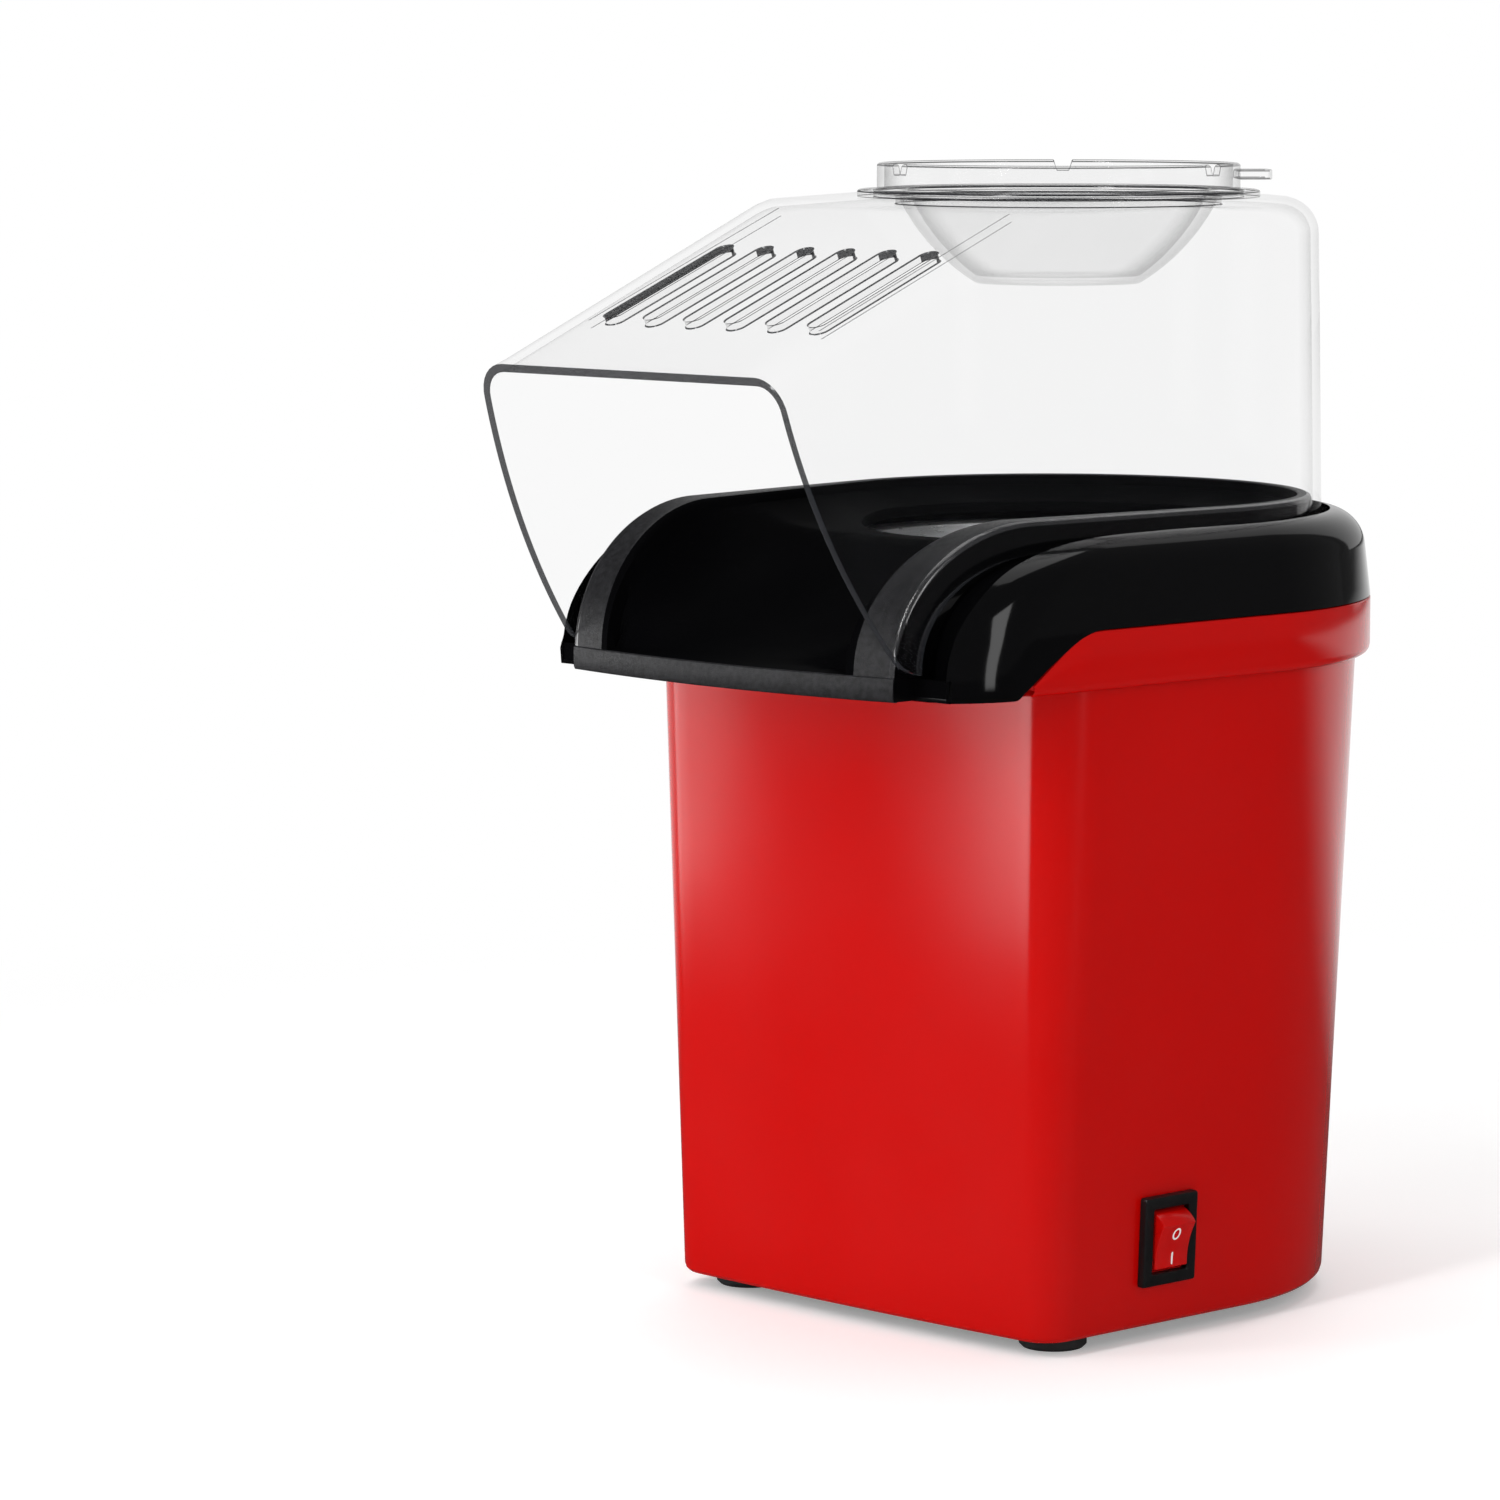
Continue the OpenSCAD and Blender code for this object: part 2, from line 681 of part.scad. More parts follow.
module collar_shell() {
  difference() {
    union() {
      difference() {
        shoulder_block();
        groove_cut();
      }
      rail_block();
    }
    trough_cut();
    collar_hollow();
    side_prism(concat(
      [[rim_r + 5, lip_z0 - 5], [rim_r + 5, rim_z1 + seam]],
      [for (p = seam_line(-seam)) [-p.x, p.y]],
      [[-seam_y0 - seam_run - 0.1, lip_z0 - 5]]
    ), 2 * rim_w);
  }
}

/* ---- Hood ---- */

// Convex form of the hood, shrunk by inset
module hood_form(inset) {
  top = hood_z1 - inset;
  front_y = mouth_reach + 3 + inset;
  front_z = top - mouth_drop * (front_y - slope_reach) / (mouth_reach - slope_reach);
  foot_half = half_w(hood_r, spout_lean, front_y) - inset;
  hull() {
    rotate_extrude($fn = 60) polygon(concat(
      [[0, hood_z0 - 40], [hood_r - inset, hood_z0 - 40], [hood_r - inset, hood_z0]],
      [for (a = [0 : 22.5 : 90])
        [hood_r - hood_draft - hood_round + (hood_round - inset) * cos(a),
         hood_z1 - hood_round + (hood_round - inset) * sin(a)]],
      [[0, top]]
    ));
    for (side = [-1, 1]) {
      translate([side * (slope_half_w - slope_round), -slope_reach, top - slope_round + inset])
        rotate([90, 0, 0]) cylinder(r = slope_round - inset, h = 0.1, $fn = 32);
      translate([side * (mouth_half_w - mouth_round), -front_y, front_z - mouth_round + inset])
        rotate([90, 0, 0]) cylinder(r = mouth_round - inset, h = 0.1, $fn = 32);
      translate([side * foot_half - 0.05, -front_y, lip_z0 - 5]) cube(0.1);
    }
  }
}

// Side view of the room in front of the mouth
module mouth_cut() {
  top = [-mouth_reach, hood_z1 - mouth_drop];
  tip = [-lip_reach + lip_bow, lip_z1];
  side_prism(concat(
    [[-mouth_reach - 20, lip_z0 - 20]],
    [[-mouth_reach - 20, top.y + 10], [top.x, top.y + 10]],
    arc_between(top, tip, mouth_bow_r, 12),
    [[tip.x, lip_z0 - 20]]
  ), 2 * rim_w);
}

// Side view of the room under the hood's bottom edge
module under_cut() {
  side_prism(concat(
    [[hood_r + 5, lip_z0 - 60], [hood_r + 5, hood_z0]], low_line(groove_deep - seat),
    [[-lip_reach - 10, lip_z1], [-lip_reach - 10, lip_z0 - 60]]
  ), 2 * rim_w);
}

slope_angle = atan(mouth_drop / (mouth_reach - slope_reach));
opening_r = bowl_r + cup_gap;

module hood() {
  color("lightblue", 0.4) place() difference() {
    union() {
      difference() {
        hood_form(0);
        hood_form(hood_wall);
      }
      translate([0, 0, hood_z1 - 1]) tube(cup_r + 0.8 + ring_w, cup_r + 0.8, ring_h + 1);
    }
    mouth_cut();
    under_cut();
    translate([0, 0, hood_z1 - 10]) cylinder(r = opening_r, h = 20);
    translate([0, -slope_reach, hood_z1]) rotate([slope_angle, 0, 0])
      for (i = [0 : slot_count - 1])
        translate([(i - (slot_count - 1) / 2) * slot_pitch, -slot_start - slot_len / 2, 0])
          rotate(90) round_slot(slot_len, slot_w, 12);
  }
}

/* ---- Measuring cup ---- */

module measuring_cup() {
  z = hood_z1 + 0.05;
  floor_z = hood_z1 - cup_deep;
  outer = arc_between([cup_floor_r, floor_z], [bowl_r, z - 1], bowl_bow_r, 8);
  inner = arc_between(
    [cup_floor_r, floor_z + cup_wall], [bowl_r - cup_wall, z + cup_wall], bowl_bow_r, 8);
  color("lightblue", 0.4) place() difference() {
    union() {
      rotate_extrude() polygon(concat(
        [[0, floor_z]], outer, [[bowl_r, z], [cup_r, z], [cup_r, cup_z1], [cup_r - cup_wall, cup_z1]],
        [[cup_r - cup_wall, z + cup_wall]], [for (i = [8 : -1 : 0]) inner[i]],
        [[0, floor_z + cup_wall]]
      ));
      rotate(45) translate([cup_r - 1, -tab_w / 2, cup_z1 - 4]) cube([tab_reach + 1, tab_w, 2.4]);
    }
    for (a = [10, 130, 250]) rotate(a)
      translate([cup_r - 5, -1.6, cup_z1 - 2.6]) cube([10, 3.2, 5]);
  }
}

/* ---- Chamber and heater ---- */

module popping_chamber() {
  r1 = chamber_r;
  r0 = chamber_floor_r;
  t = chamber_wall;
  bend = 6;
  inside = concat(
    [[0, chamber_z0]],
    [for (a = [-90 : 15 : 0]) [r0 - bend + bend * cos(a), chamber_z0 + bend + bend * sin(a)]],
    [[r1, flange_z + t]]
  );
  outside = concat(
    [[0, chamber_z0 - t]],
    [for (a = [-90 : 15 : 0])
      [r0 - bend + (bend + t) * cos(a), chamber_z0 + bend + (bend + t) * sin(a)]],
    [[r1 + t, flange_z], [flange_r, flange_z], [flange_r, flange_z + t]]
  );
  color("#c9cacc") place() difference() {
    rotate_extrude() polygon(concat(outside, [for (i = [len(inside) - 1 : -1 : 0]) inside[i]]));
    for (i = [0 : louvre_count - 1])
      rotate(i * 360 / louvre_count) translate([chamber_floor_r, 0, chamber_z0 + 13])
        rotate([35, 0, 0]) translate([-4, -louvre_w / 2, -louvre_len / 2])
          cube([9, louvre_w, louvre_len]);
  }
}

module chamber_gasket() {
  color("#3a3a3c") place() translate([0, 0, flange_z + chamber_wall + 0.05])
    tube(flange_r - 0.5, hole_r + 1, funnel_z - wall - flange_z - chamber_wall - 0.1);
}

duct_z0 = ring_z0 + ring_t + 0.05;
duct_z1 = flange_z - 0.05;
case_ear_angles = [30, 150, 270];
case_ear_r = duct_r + 7.5;
case_ear_h = 12;

// Ear with a screw hole, standing out of a round wall of radius r
module ear(r, at_r, t, hole) {
  difference() {
    union() {
      translate([at_r, 0, 0]) cylinder(r = 4.5, h = t);
      translate([r - 0.8, -4.5, 0]) cube([at_r - r + 0.8, 9, t]);
    }
    translate([at_r, 0, -1]) cylinder(r = hole, h = t + 2);
  }
}

module heater_duct() {
  color("#a9abae") place() {
    translate([0, 0, duct_z0]) tube(duct_r, duct_r - duct_wall, duct_z1 - duct_z0);
    translate([0, 0, duct_z1 - duct_wall]) tube(duct_r + duct_rim, duct_r - duct_wall, duct_wall);
    for (a = hang_angles) rotate(a)
      translate([0, 0, ear_z - ear_t]) ear(duct_r, hang_r, ear_t, clear_r);
    for (a = case_ear_angles) rotate(a)
      translate([0, 0, case_top + touch]) ear(duct_r, case_ear_r, ear_t, clear_r);
  }
}

module collar_screws() {
  color("silver") place() for (a = hang_angles) rotate(a)
    translate([hang_r, 0, ear_z - ear_t - head_h - touch]) screw(screw_r, 9, head_r, head_h);
}

module heater_ring() {
  color("#8d8f92") place() translate([0, 0, ring_z0]) tube(duct_r - 0.1, fan_r - 1, ring_t);
}

coil_r = fan_r - 3.5;
mica_t = 1.2;
mica_border = 7;
winding_z0 = mica_z0 + 4;
winding_pitch = winding_h / winding_turns;

module mica_former() {
  color("#cfc6a8") place() difference() {
    for (a = [0, 90]) rotate(a) translate([-coil_r, -mica_t / 2, mica_z0])
      cube([2 * coil_r, mica_t, mica_h]);
    // Notches that carry the winding
    for (k = [0 : 4 * winding_turns])
      rotate(k * 90) translate([coil_r - wire_d / 2 - 0.2, -2, winding_z0 + k * winding_pitch / 4])
        translate([0, 0, -wire_d / 2 - 0.2]) cube([5, 4, wire_d + 0.4]);
    // Windows, with an even border round each
    for (a = [0 : 90 : 270]) rotate(a) translate([coil_r * 0.5, -2, mica_z0 + mica_border])
      cube([8, 4, mica_h - 2 * mica_border]);
  }
  // Feet of the former, out on the ring
  color("#cfc6a8") place() for (a = [0 : 90 : 270]) rotate(a)
    translate([coil_r - 1, -mica_t / 2, mica_z0]) cube([8, mica_t, 2]);
}

// Rings of a round wire along a helix
function helix_rings(r, z0, pitch, turns, wire, step) = [
  for (a = [0 : step : 360 * turns])
    [for (b = [0 : 45 : 315]) [
      (r + wire / 2 * cos(b)) * cos(a), (r + wire / 2 * cos(b)) * sin(a),
      z0 + pitch * a / 360 + wire / 2 * sin(b)
    ]]
];

module heating_coil() {
  color("#6f6a66") place()
    skin(helix_rings(coil_r, winding_z0, winding_pitch, winding_turns, wire_d, 15));
}

module thermostat() {
  z = chamber_z0 - chamber_wall - 0.05;
  color("#b8b4a8") place() translate([0, 0, z]) {
    translate([0, 0, -3]) cylinder(r = 8, h = 3);
    translate([0, 0, -9.5]) cylinder(r = 8.5, h = 6.5);
    for (side = [-1, 1]) translate([side * 5 - 0.4, -3, -12]) cube([0.8, 6, 3]);
  }
}

module thermal_fuse() {
  color("#d8d2c0") place() translate([13, 0, mica_top + 2.05]) rotate([0, 90, 0]) {
    cylinder(r = 2, h = 12);
    translate([0, 0, -3]) cylinder(r = 0.5, h = 18);
  }
}

/* ---- Fan case, motor and fan ---- */

case_r = duct_r + seat + 2.5;
motor_screw_r = 0.7 * motor_r;
boss_h = 2;

module fan_case() {
  color("#d9d4c6") place() difference() {
    union() {
      translate([0, 0, case_z0]) cylinder(r = case_r, h = case_top - case_z0);
      for (a = case_ear_angles) rotate(a)
        translate([0, 0, case_top - case_ear_h]) ear(case_r, case_ear_r, case_ear_h, pilot_r);
    }
    translate([0, 0, case_z1]) cylinder(r = fan_r + 3, h = cut_long);
    translate([0, 0, ring_z0 - 0.05]) cylinder(r = duct_r + seat, h = cut_long);
    translate([0, 0, case_z0 - 1]) cylinder(r = 6, h = 10);
    for (side = [-1, 1]) translate([side * motor_screw_r, 0, case_z0 - 1]) cylinder(r = 1.7, h = 10);
    // Air inlet round the motor: arched windows between four arms
    translate([0, 0, case_z0 - 1]) linear_extrude(case_floor + 2) difference() {
      circle(r = fan_r - 6);
      circle(r = motor_r + 3);
      for (a = [45, 135]) rotate(a) square([2 * fan_r, 8], center = true);
    }
  }
}

module case_screws() {
  color("silver") place() for (a = case_ear_angles) rotate(a)
    translate([case_ear_r, 0, case_top + ear_t + head_h + 2 * touch])
      mirror([0, 0, 1]) screw(screw_r, 10, head_r, head_h);
}

module motor_can() {
  cap_h = 6;
  color("#9a9c9f") place() difference() {
    union() {
      translate([0, 0, motor_z + cap_h]) cylinder(r = motor_r, h = motor_len - cap_h);
      translate([0, 0, motor_z1]) cylinder(r = 5, h = boss_h);
      translate([0, 0, motor_z + cap_h + 4]) cylinder(r = motor_r + 1, h = 16);
    }
    cylinder(r = shaft_r + shaft_play, h = cut_long);
    for (side = [-1, 1]) translate([side * motor_screw_r, 0, motor_z1 - 5]) cylinder(r = 1.35, h = 10);
  }
}

module motor_end_cap() {
  color("#e8e4d8") place() difference() {
    translate([0, 0, motor_z]) union() {
      cylinder(r = motor_r - 0.6, h = 5.95);
      translate([0, 0, -1.5]) cylinder(r = 4.5, h = 3);
    }
    translate([0, 0, motor_z + 0.5]) cylinder(r = shaft_r + shaft_play, h = 20);
    for (side = [-1, 1]) translate([side * 10, 0, motor_z]) cube([1.2, 3.6, 6], center = true);
  }
}

module motor_terminals() {
  color("gold") place() for (side = [-1, 1])
    translate([side * 10 - 0.4, -1.5, motor_z - 6]) cube([0.8, 3, 8.8]);
}

module motor_screws() {
  color("silver") place() for (side = [-1, 1])
    translate([side * motor_screw_r, 0, case_z1 + 1.5]) mirror([0, 0, 1]) screw(1.25, 6, 2.8, 1.45);
}

board_z = motor_z - 4;
board_t = 1.6;

module rectifier_board() {
  color("#2d6a3a") place() difference() {
    translate([0, 0, board_z]) cylinder(r = motor_r - 2, h = board_t);
    translate([0, 0, board_z - 1]) cylinder(r = 5, h = board_t + 2);
    for (side = [-1, 1]) translate([side * 10, 0, board_z]) cube([1, 3.2, 8], center = true);
  }
}

module rectifier_diodes() {
  color("#202022") place() for (x = [-1, 1], y = [-1, 1])
    translate([x * 5 - 2.6, y * 9.5, board_z - 1.55]) rotate([0, 90, 0]) cylinder(r = 1.5, h = 5.2);
}

shaft_top = fan_z1 + 3.5;

module motor_shaft() {
  color("#c4c6c8") place() translate([0, 0, motor_z + 0.8])
    cylinder(r = shaft_r, h = shaft_top - motor_z - 0.8);
}

blade_bow = 0.62 * fan_r;
hub_r = 7;

module fan() {
  color("#e6e2d8") place() difference() {
    union() {
      translate([0, 0, fan_z0]) cylinder(r = hub_r, h = fan_z1 - fan_z0);
      translate([0, 0, fan_z0]) cylinder(r = 0.62 * fan_r, h = fan_disc_t);
      translate([0, 0, fan_z0]) linear_extrude(fan_z1 - fan_z0) for (i = [0 : blade_count - 1])
        rotate(i * 360 / blade_count) blade_plan();
    }
    translate([0, 0, fan_z0 - 1]) cylinder(r = shaft_r + 0.02, h = cut_long);
  }
}

// Backward-curved blade: a strip of a ring between the hub and the tip circle
module blade_plan() {
  intersection() {
    translate([hub_r - 1, -blade_bow]) difference() {
      circle(r = blade_bow + blade_t / 2);
      circle(r = blade_bow - blade_t / 2);
    }
    circle(r = fan_r);
    translate([0, -fan_r]) square([fan_r, 2 * fan_r]);
    translate([0, -0.8 * blade_bow]) square(2 * fan_r);
  }
}

module fan_nut() {
  color("#b9bbbe") place() translate([0, 0, fan_z1 + 0.05])
    tube(4, shaft_r + 0.02, 2.4);
}

/* ---- Switch ---- */

draft = atan((top_w - base_w) / 2 / body_h);
rocker_gap = 0.4;
pivot_deep = 1.2;
rocker_w = bezel_w - 2 * bezel_border;
rocker_h = bezel_h - 2 * bezel_border;
rocker_r = rocker_h / 2 - 0.35;
pin_r = 1;

// Local frame on the switch side: X out of the wall, Z up along it
module at_switch() {
  translate([half_w(body_half(switch_z), plan_lean, switch_y), -switch_y, switch_z])
    rotate([0, draft, -plan_lean]) children();
}

module switch_body() {
  body_w = bezel_w - 3.4;
  body_h2 = bezel_h - 3.4;
  color("#18181a") place() at_switch() difference() {
    union() {
      translate([0.05, -bezel_w / 2, -bezel_h / 2]) cube([bezel_t * 0.5, bezel_w, bezel_h]);
      translate([0.05, 0.5 - bezel_w / 2, 0.5 - bezel_h / 2])
        cube([bezel_t - 0.05, bezel_w - 1, bezel_h - 1]);
      translate([-switch_deep, -body_w / 2, -body_h2 / 2]) cube([switch_deep + 1, body_w, body_h2]);
    }
    translate([-rocker_r - pivot_deep - 0.8, -rocker_w / 2, -rocker_h / 2])
      cube([40, rocker_w, rocker_h]);
    translate([-pivot_deep, -bezel_w, 0]) rotate([-90, 0, 0])
      translate([0, 0, bezel_w - rocker_w / 2 - 1]) cylinder(r = pin_r + 0.02, h = rocker_w + 2);
    for (z = [-4, 4]) translate([-switch_deep - 1, -2.5, z - 0.45]) cube([4, 5, 0.9]);
  }
}

module switch_terminals() {
  color("gold") place() at_switch() for (z = [-4, 4])
    translate([-switch_deep - 7, -2.4, z - 0.4]) cube([9, 4.8, 0.8]);
}

module rocker() {
  color("#c4100c") place() at_switch() translate([-pivot_deep, 0, 0]) rotate([0, rocker_tilt, 0])
    difference() {
      translate([0, -rocker_w / 2 + rocker_gap, 0]) rotate([-90, 0, 0])
        cylinder(r = rocker_r, h = rocker_w - 2 * rocker_gap);
      translate([pivot_deep + 21.4, -rocker_w, 0]) rotate([-90, 0, 0]) cylinder(r = 20, h = 2 * rocker_w);
      translate([0, -rocker_w, 0]) rotate([-90, 0, 0]) cylinder(r = pin_r + shaft_play, h = 2 * rocker_w);
    }
}

module rocker_pin() {
  color("silver") place() at_switch() translate([-pivot_deep, -rocker_w / 2 - 0.8, 0])
    rotate([-90, 0, 0]) cylinder(r = pin_r, h = rocker_w + 1.6);
}

/* ---- Cord bushing ---- */

module cord_bushing() {
  r = cord_hole_r;
  y0 = body_half(cord_z - 8) - wall - 0.7;
  y1 = body_half(cord_z + 8) + 0.1;
  color("#151517") place() translate([0, 0, cord_z]) rotate([-90, 0, 0])
    rotate_extrude() polygon([
      [r, y0 - 5], [r + 1.8, y0 - 5], [r + 3.2, y0], [r + 1.85, y0], [r + 1.85, y1],
      [r + 4.3, y1], [r + 4.3, y1 + 2], [r + 2.2, y1 + 3.5], [r + 1.6, y1 + 7], [r, y1 + 7]
    ]);
}

housing();
base_plate();
feet();
base_screws();
collar();
collar_screws();
popping_chamber();
chamber_gasket();
heater_duct();
mica_former();
heating_coil();
heater_ring();
thermostat();
thermal_fuse();
fan_case();
case_screws();
motor_can();
motor_end_cap();
motor_screws();
motor_terminals();
rectifier_board();
rectifier_diodes();
motor_shaft();
fan();
fan_nut();
switch_body();
switch_terminals();
rocker();
rocker_pin();
cord_bushing();
hood();
measuring_cup();
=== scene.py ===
"""Dresses the packed popcorn maker: housing, collar, clear hood and cup, switch and stage."""

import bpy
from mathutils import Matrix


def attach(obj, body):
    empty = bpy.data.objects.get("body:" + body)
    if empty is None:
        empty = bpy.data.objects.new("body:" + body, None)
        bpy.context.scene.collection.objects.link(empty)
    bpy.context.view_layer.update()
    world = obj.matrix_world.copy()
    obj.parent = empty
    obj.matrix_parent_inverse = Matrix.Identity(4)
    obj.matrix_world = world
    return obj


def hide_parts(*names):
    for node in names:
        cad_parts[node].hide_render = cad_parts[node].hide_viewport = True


bl_info = {
    "name": "Hot-air popcorn maker",
    "version": (1, 0, 0),
    "blender": (4, 5, 0),
    "location": "View3D > Sidebar > Popcorn maker",
    "description": "Builds the visible pieces of a hot-air popcorn maker over its packed frame",
    "category": "Add Mesh",
}

from math import atan, cos, pi, radians, sin, sqrt, tan
from types import SimpleNamespace

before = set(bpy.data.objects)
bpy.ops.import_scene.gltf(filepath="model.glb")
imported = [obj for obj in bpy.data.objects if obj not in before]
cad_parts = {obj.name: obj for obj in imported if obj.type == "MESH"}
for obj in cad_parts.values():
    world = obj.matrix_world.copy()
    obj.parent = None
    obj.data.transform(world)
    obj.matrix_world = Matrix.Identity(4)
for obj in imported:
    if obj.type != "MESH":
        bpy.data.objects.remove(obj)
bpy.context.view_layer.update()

import bmesh
import bpy
import numpy as np
from bpy.props import FloatProperty, FloatVectorProperty, IntProperty, PointerProperty
from bpy.types import Operator, Panel, PropertyGroup
from mathutils import Vector
from mathutils.geometry import delaunay_2d_cdt

# The chamber's axis stands this far behind the frame's origin
AXIS_Y = 0.03525
# Turn of the camera about the vertical, along which the floor runs up into the backdrop
VIEW_TURN = radians(44.51)


def length(name, default, text):
    """A size in metres."""
    return FloatProperty(name=name, default=default, description=text, unit="LENGTH", precision=5)


def angle(name, default, text):
    """An angle, given here in degrees and kept in radians."""
    return FloatProperty(name=name, default=radians(default), description=text, subtype="ANGLE")


def colour(name, default, text):
    """A linear colour."""
    return FloatVectorProperty(
        name=name, default=default, description=text, subtype="COLOR", size=3, min=0, max=1
    )


class HousingSizes(PropertyGroup):
    """Sizes of the red housing and its rim band."""

    foot_h: length("Foot height", 0.0035, "Gap under the housing")
    base_half: length("Half width, bottom", 0.0665, "Half width at the bottom edge")
    top_half: length("Half width, top", 0.073, "Half width under the rim")
    base_front: length("Front reach, bottom", 0.0725, "Reach of the front wall at the bottom")
    top_front: length("Front reach, top", 0.075, "Reach of the front wall under the rim")
    body_h: length("Body height", 0.1535, "Height of the wall from its bottom edge to the rim")
    plan_lean: angle("Plan lean", 4, "Convergence of the sides toward the lip")
    corner_r: length("Corner radius, bottom", 0.009, "Front corners at the bottom")
    corner_top_r: length("Corner radius, top", 0.013, "Front corners under the rim")
    front_bow_r: length("Front bow", 1.3, "Radius of the front wall's shallow bow")
    wall: length("Wall", 0.0025, "Wall thickness")
    bottom_round: length("Bottom rounding", 0.0022, "Rounding of the bottom edge")
    rim_r: length("Rim radius", 0.0765, "Radius of the rim round the back")
    rim_h: length("Rim height", 0.014, "Height of the rim band")
    rim_fillet: length("Rim fillet", 0.0022, "Rounding of the rim's lower edge")


class CollarSizes(PropertyGroup):
    """Sizes of the black collar."""

    lip_reach: length("Lip reach", 0.118, "Reach of the pouring lip")
    lip_bow_r: length("Lip bow", 0.279, "Radius of the lip's front arc")
    lip_corner_r: length("Lip corner radius", 0.026, "Front corners at the lip")
    crest_corner_r: length("Crest corner radius", 0.034, "Front corners at the shoulder")
    lip_h: length("Lip height", 0.0057, "Height of the lip's front band")
    shoulder_h: length("Shoulder height", 0.0297, "Shoulder above the lip band")
    rail_rise: length("Rail rise", 0.0035, "Rail above the shoulder")
    shoulder_round: length("Shoulder rounding", 0.008, "Rounding of the shoulder's edge")
    shoulder_taper: length("Shoulder taper", 0.0025, "Loss of radius up to the shoulder")
    rail_crest: length("Rail crest", 0.070, "Where the rails start to fall")
    groove_deep: length("Groove depth", 0.0047, "Depth of the hood's groove")
    groove_w: length("Groove width", 0.0045, "Width of the hood's groove")
    channel_w: length("Channel width", 0.010, "Width of the channel at the lip")
    rail_w: length("Rail width", 0.004, "Width of the rail round the back")
    rail_front_w: length("Rail width, lip", 0.0125, "Width of the rail at the lip")
    funnel_drop: length("Funnel drop", 0.0082, "Chamber's edge below the rail's top")
    hole_r: length("Hole radius", 0.0475, "Hole over the chamber")
    seam: length("Seam gap", 0.0002, "Gap between the rim and the collar")
    seam_angle: angle("Seam angle", 37, "Slope of the seam down to the lip")
    trough_power: FloatProperty(
        name="Trough power", default=5, description="Sharpness of the trough's sides"
    )


class HoodSizes(PropertyGroup):
    """Sizes of the clear hood."""

    hood_r: length("Hood radius", 0.0645, "Outer radius at the groove")
    hood_draft: length("Hood draft", 0.0015, "Loss of radius up to the top edge")
    hood_h: length("Hood height", 0.0753, "Flat top above the shoulder")
    hood_wall: length("Hood wall", 0.002, "Wall thickness")
    hood_round: length("Top rounding", 0.009, "Rounding of the top edge")
    spout_lean: angle("Spout lean", 5.3, "Convergence of the spout's sides")
    mouth_reach: length("Mouth reach", 0.147, "Reach of the mouth's top edge")
    mouth_drop: length("Mouth drop", 0.037, "Mouth's top edge below the flat top")
    mouth_half: length("Mouth half width", 0.0485, "Half width of the mouth's top edge")
    mouth_round: length("Mouth rounding", 0.008, "Rounding of the mouth's top corners")
    mouth_bow_r: length("Mouth bow", 0.166, "Bow radius of the mouth's side edges")
    slope_reach: length("Slope reach", 0.0525, "Reach of the slope's upper edge")
    slope_half: length("Slope half width", 0.056, "Half width at the slope's upper edge")
    slope_round: length("Slope rounding", 0.012, "Rounding of the slope's upper corners")
    slot_pitch: length("Slot pitch", 0.01316, "Distance between the steam slots")
    slot_w: length("Slot width", 0.0048, "Width of a steam slot")
    slot_len: length("Slot length", 0.0435, "Length of a steam slot")
    slot_start: length("Slot start", 0.0295, "Slope's upper edge to the slots")
    slot_count: IntProperty(name="Steam slots", default=6, description="Number of steam slots")
    ring_h: length("Ring height", 0.0016, "Height of the ring round the cup")
    ring_w: length("Ring width", 0.004, "Width of the ring round the cup")


class CupSizes(PropertyGroup):
    """Sizes of the measuring cup."""

    cup_r: length("Rim radius", 0.044, "Outer radius of the rim")
    cup_h: length("Rim height", 0.008, "Rim above the hood's flat top")
    cup_deep: length("Bowl depth", 0.021, "Bowl below the hood's flat top")
    cup_floor_r: length("Floor radius", 0.020, "Radius of the bowl's flat bottom")
    bowl_r: length("Bowl radius", 0.0385, "Bowl where it passes the hood's top")
    bowl_bow_r: length("Bowl bow", 0.050, "Outward bow of the bowl's side")
    cup_wall: length("Cup wall", 0.0018, "Wall thickness")
    cup_gap: length("Cup clearance", 0.001, "Clearance round the bowl in the hood's opening")
    tab_reach: length("Tab reach", 0.0075, "Thumb tab beyond the rim")
    tab_w: length("Tab width", 0.014, "Width of the thumb tab")


class SwitchSizes(PropertyGroup):
    """Sizes of the rocker switch."""

    switch_z: length("Height", 0.0245, "Height of the switch's centre")
    switch_y: length("Reach", 0.0335, "Distance in front of the chamber's axis")
    bezel_h: length("Bezel height", 0.0215, "Height of the bezel")
    bezel_w: length("Bezel width", 0.0175, "Width of the bezel")
    bezel_t: length("Bezel thickness", 0.002, "Thickness of the bezel")
    border: length("Border", 0.003, "Border round the rocker")
    tilt: angle("Rocker tilt", 13, "Tilt of the rocker from its middle")
    gap: length("Rocker gap", 0.0004, "Gap beside the rocker")
    pivot_deep: length("Pivot depth", 0.0012, "Depth of the rocker's pivot")
    face_out: length("Face centre", 0.023, "Centre of the rocker's dished face, out of the wall")
    face_r: length("Face radius", 0.020, "Radius of the rocker's dished face")


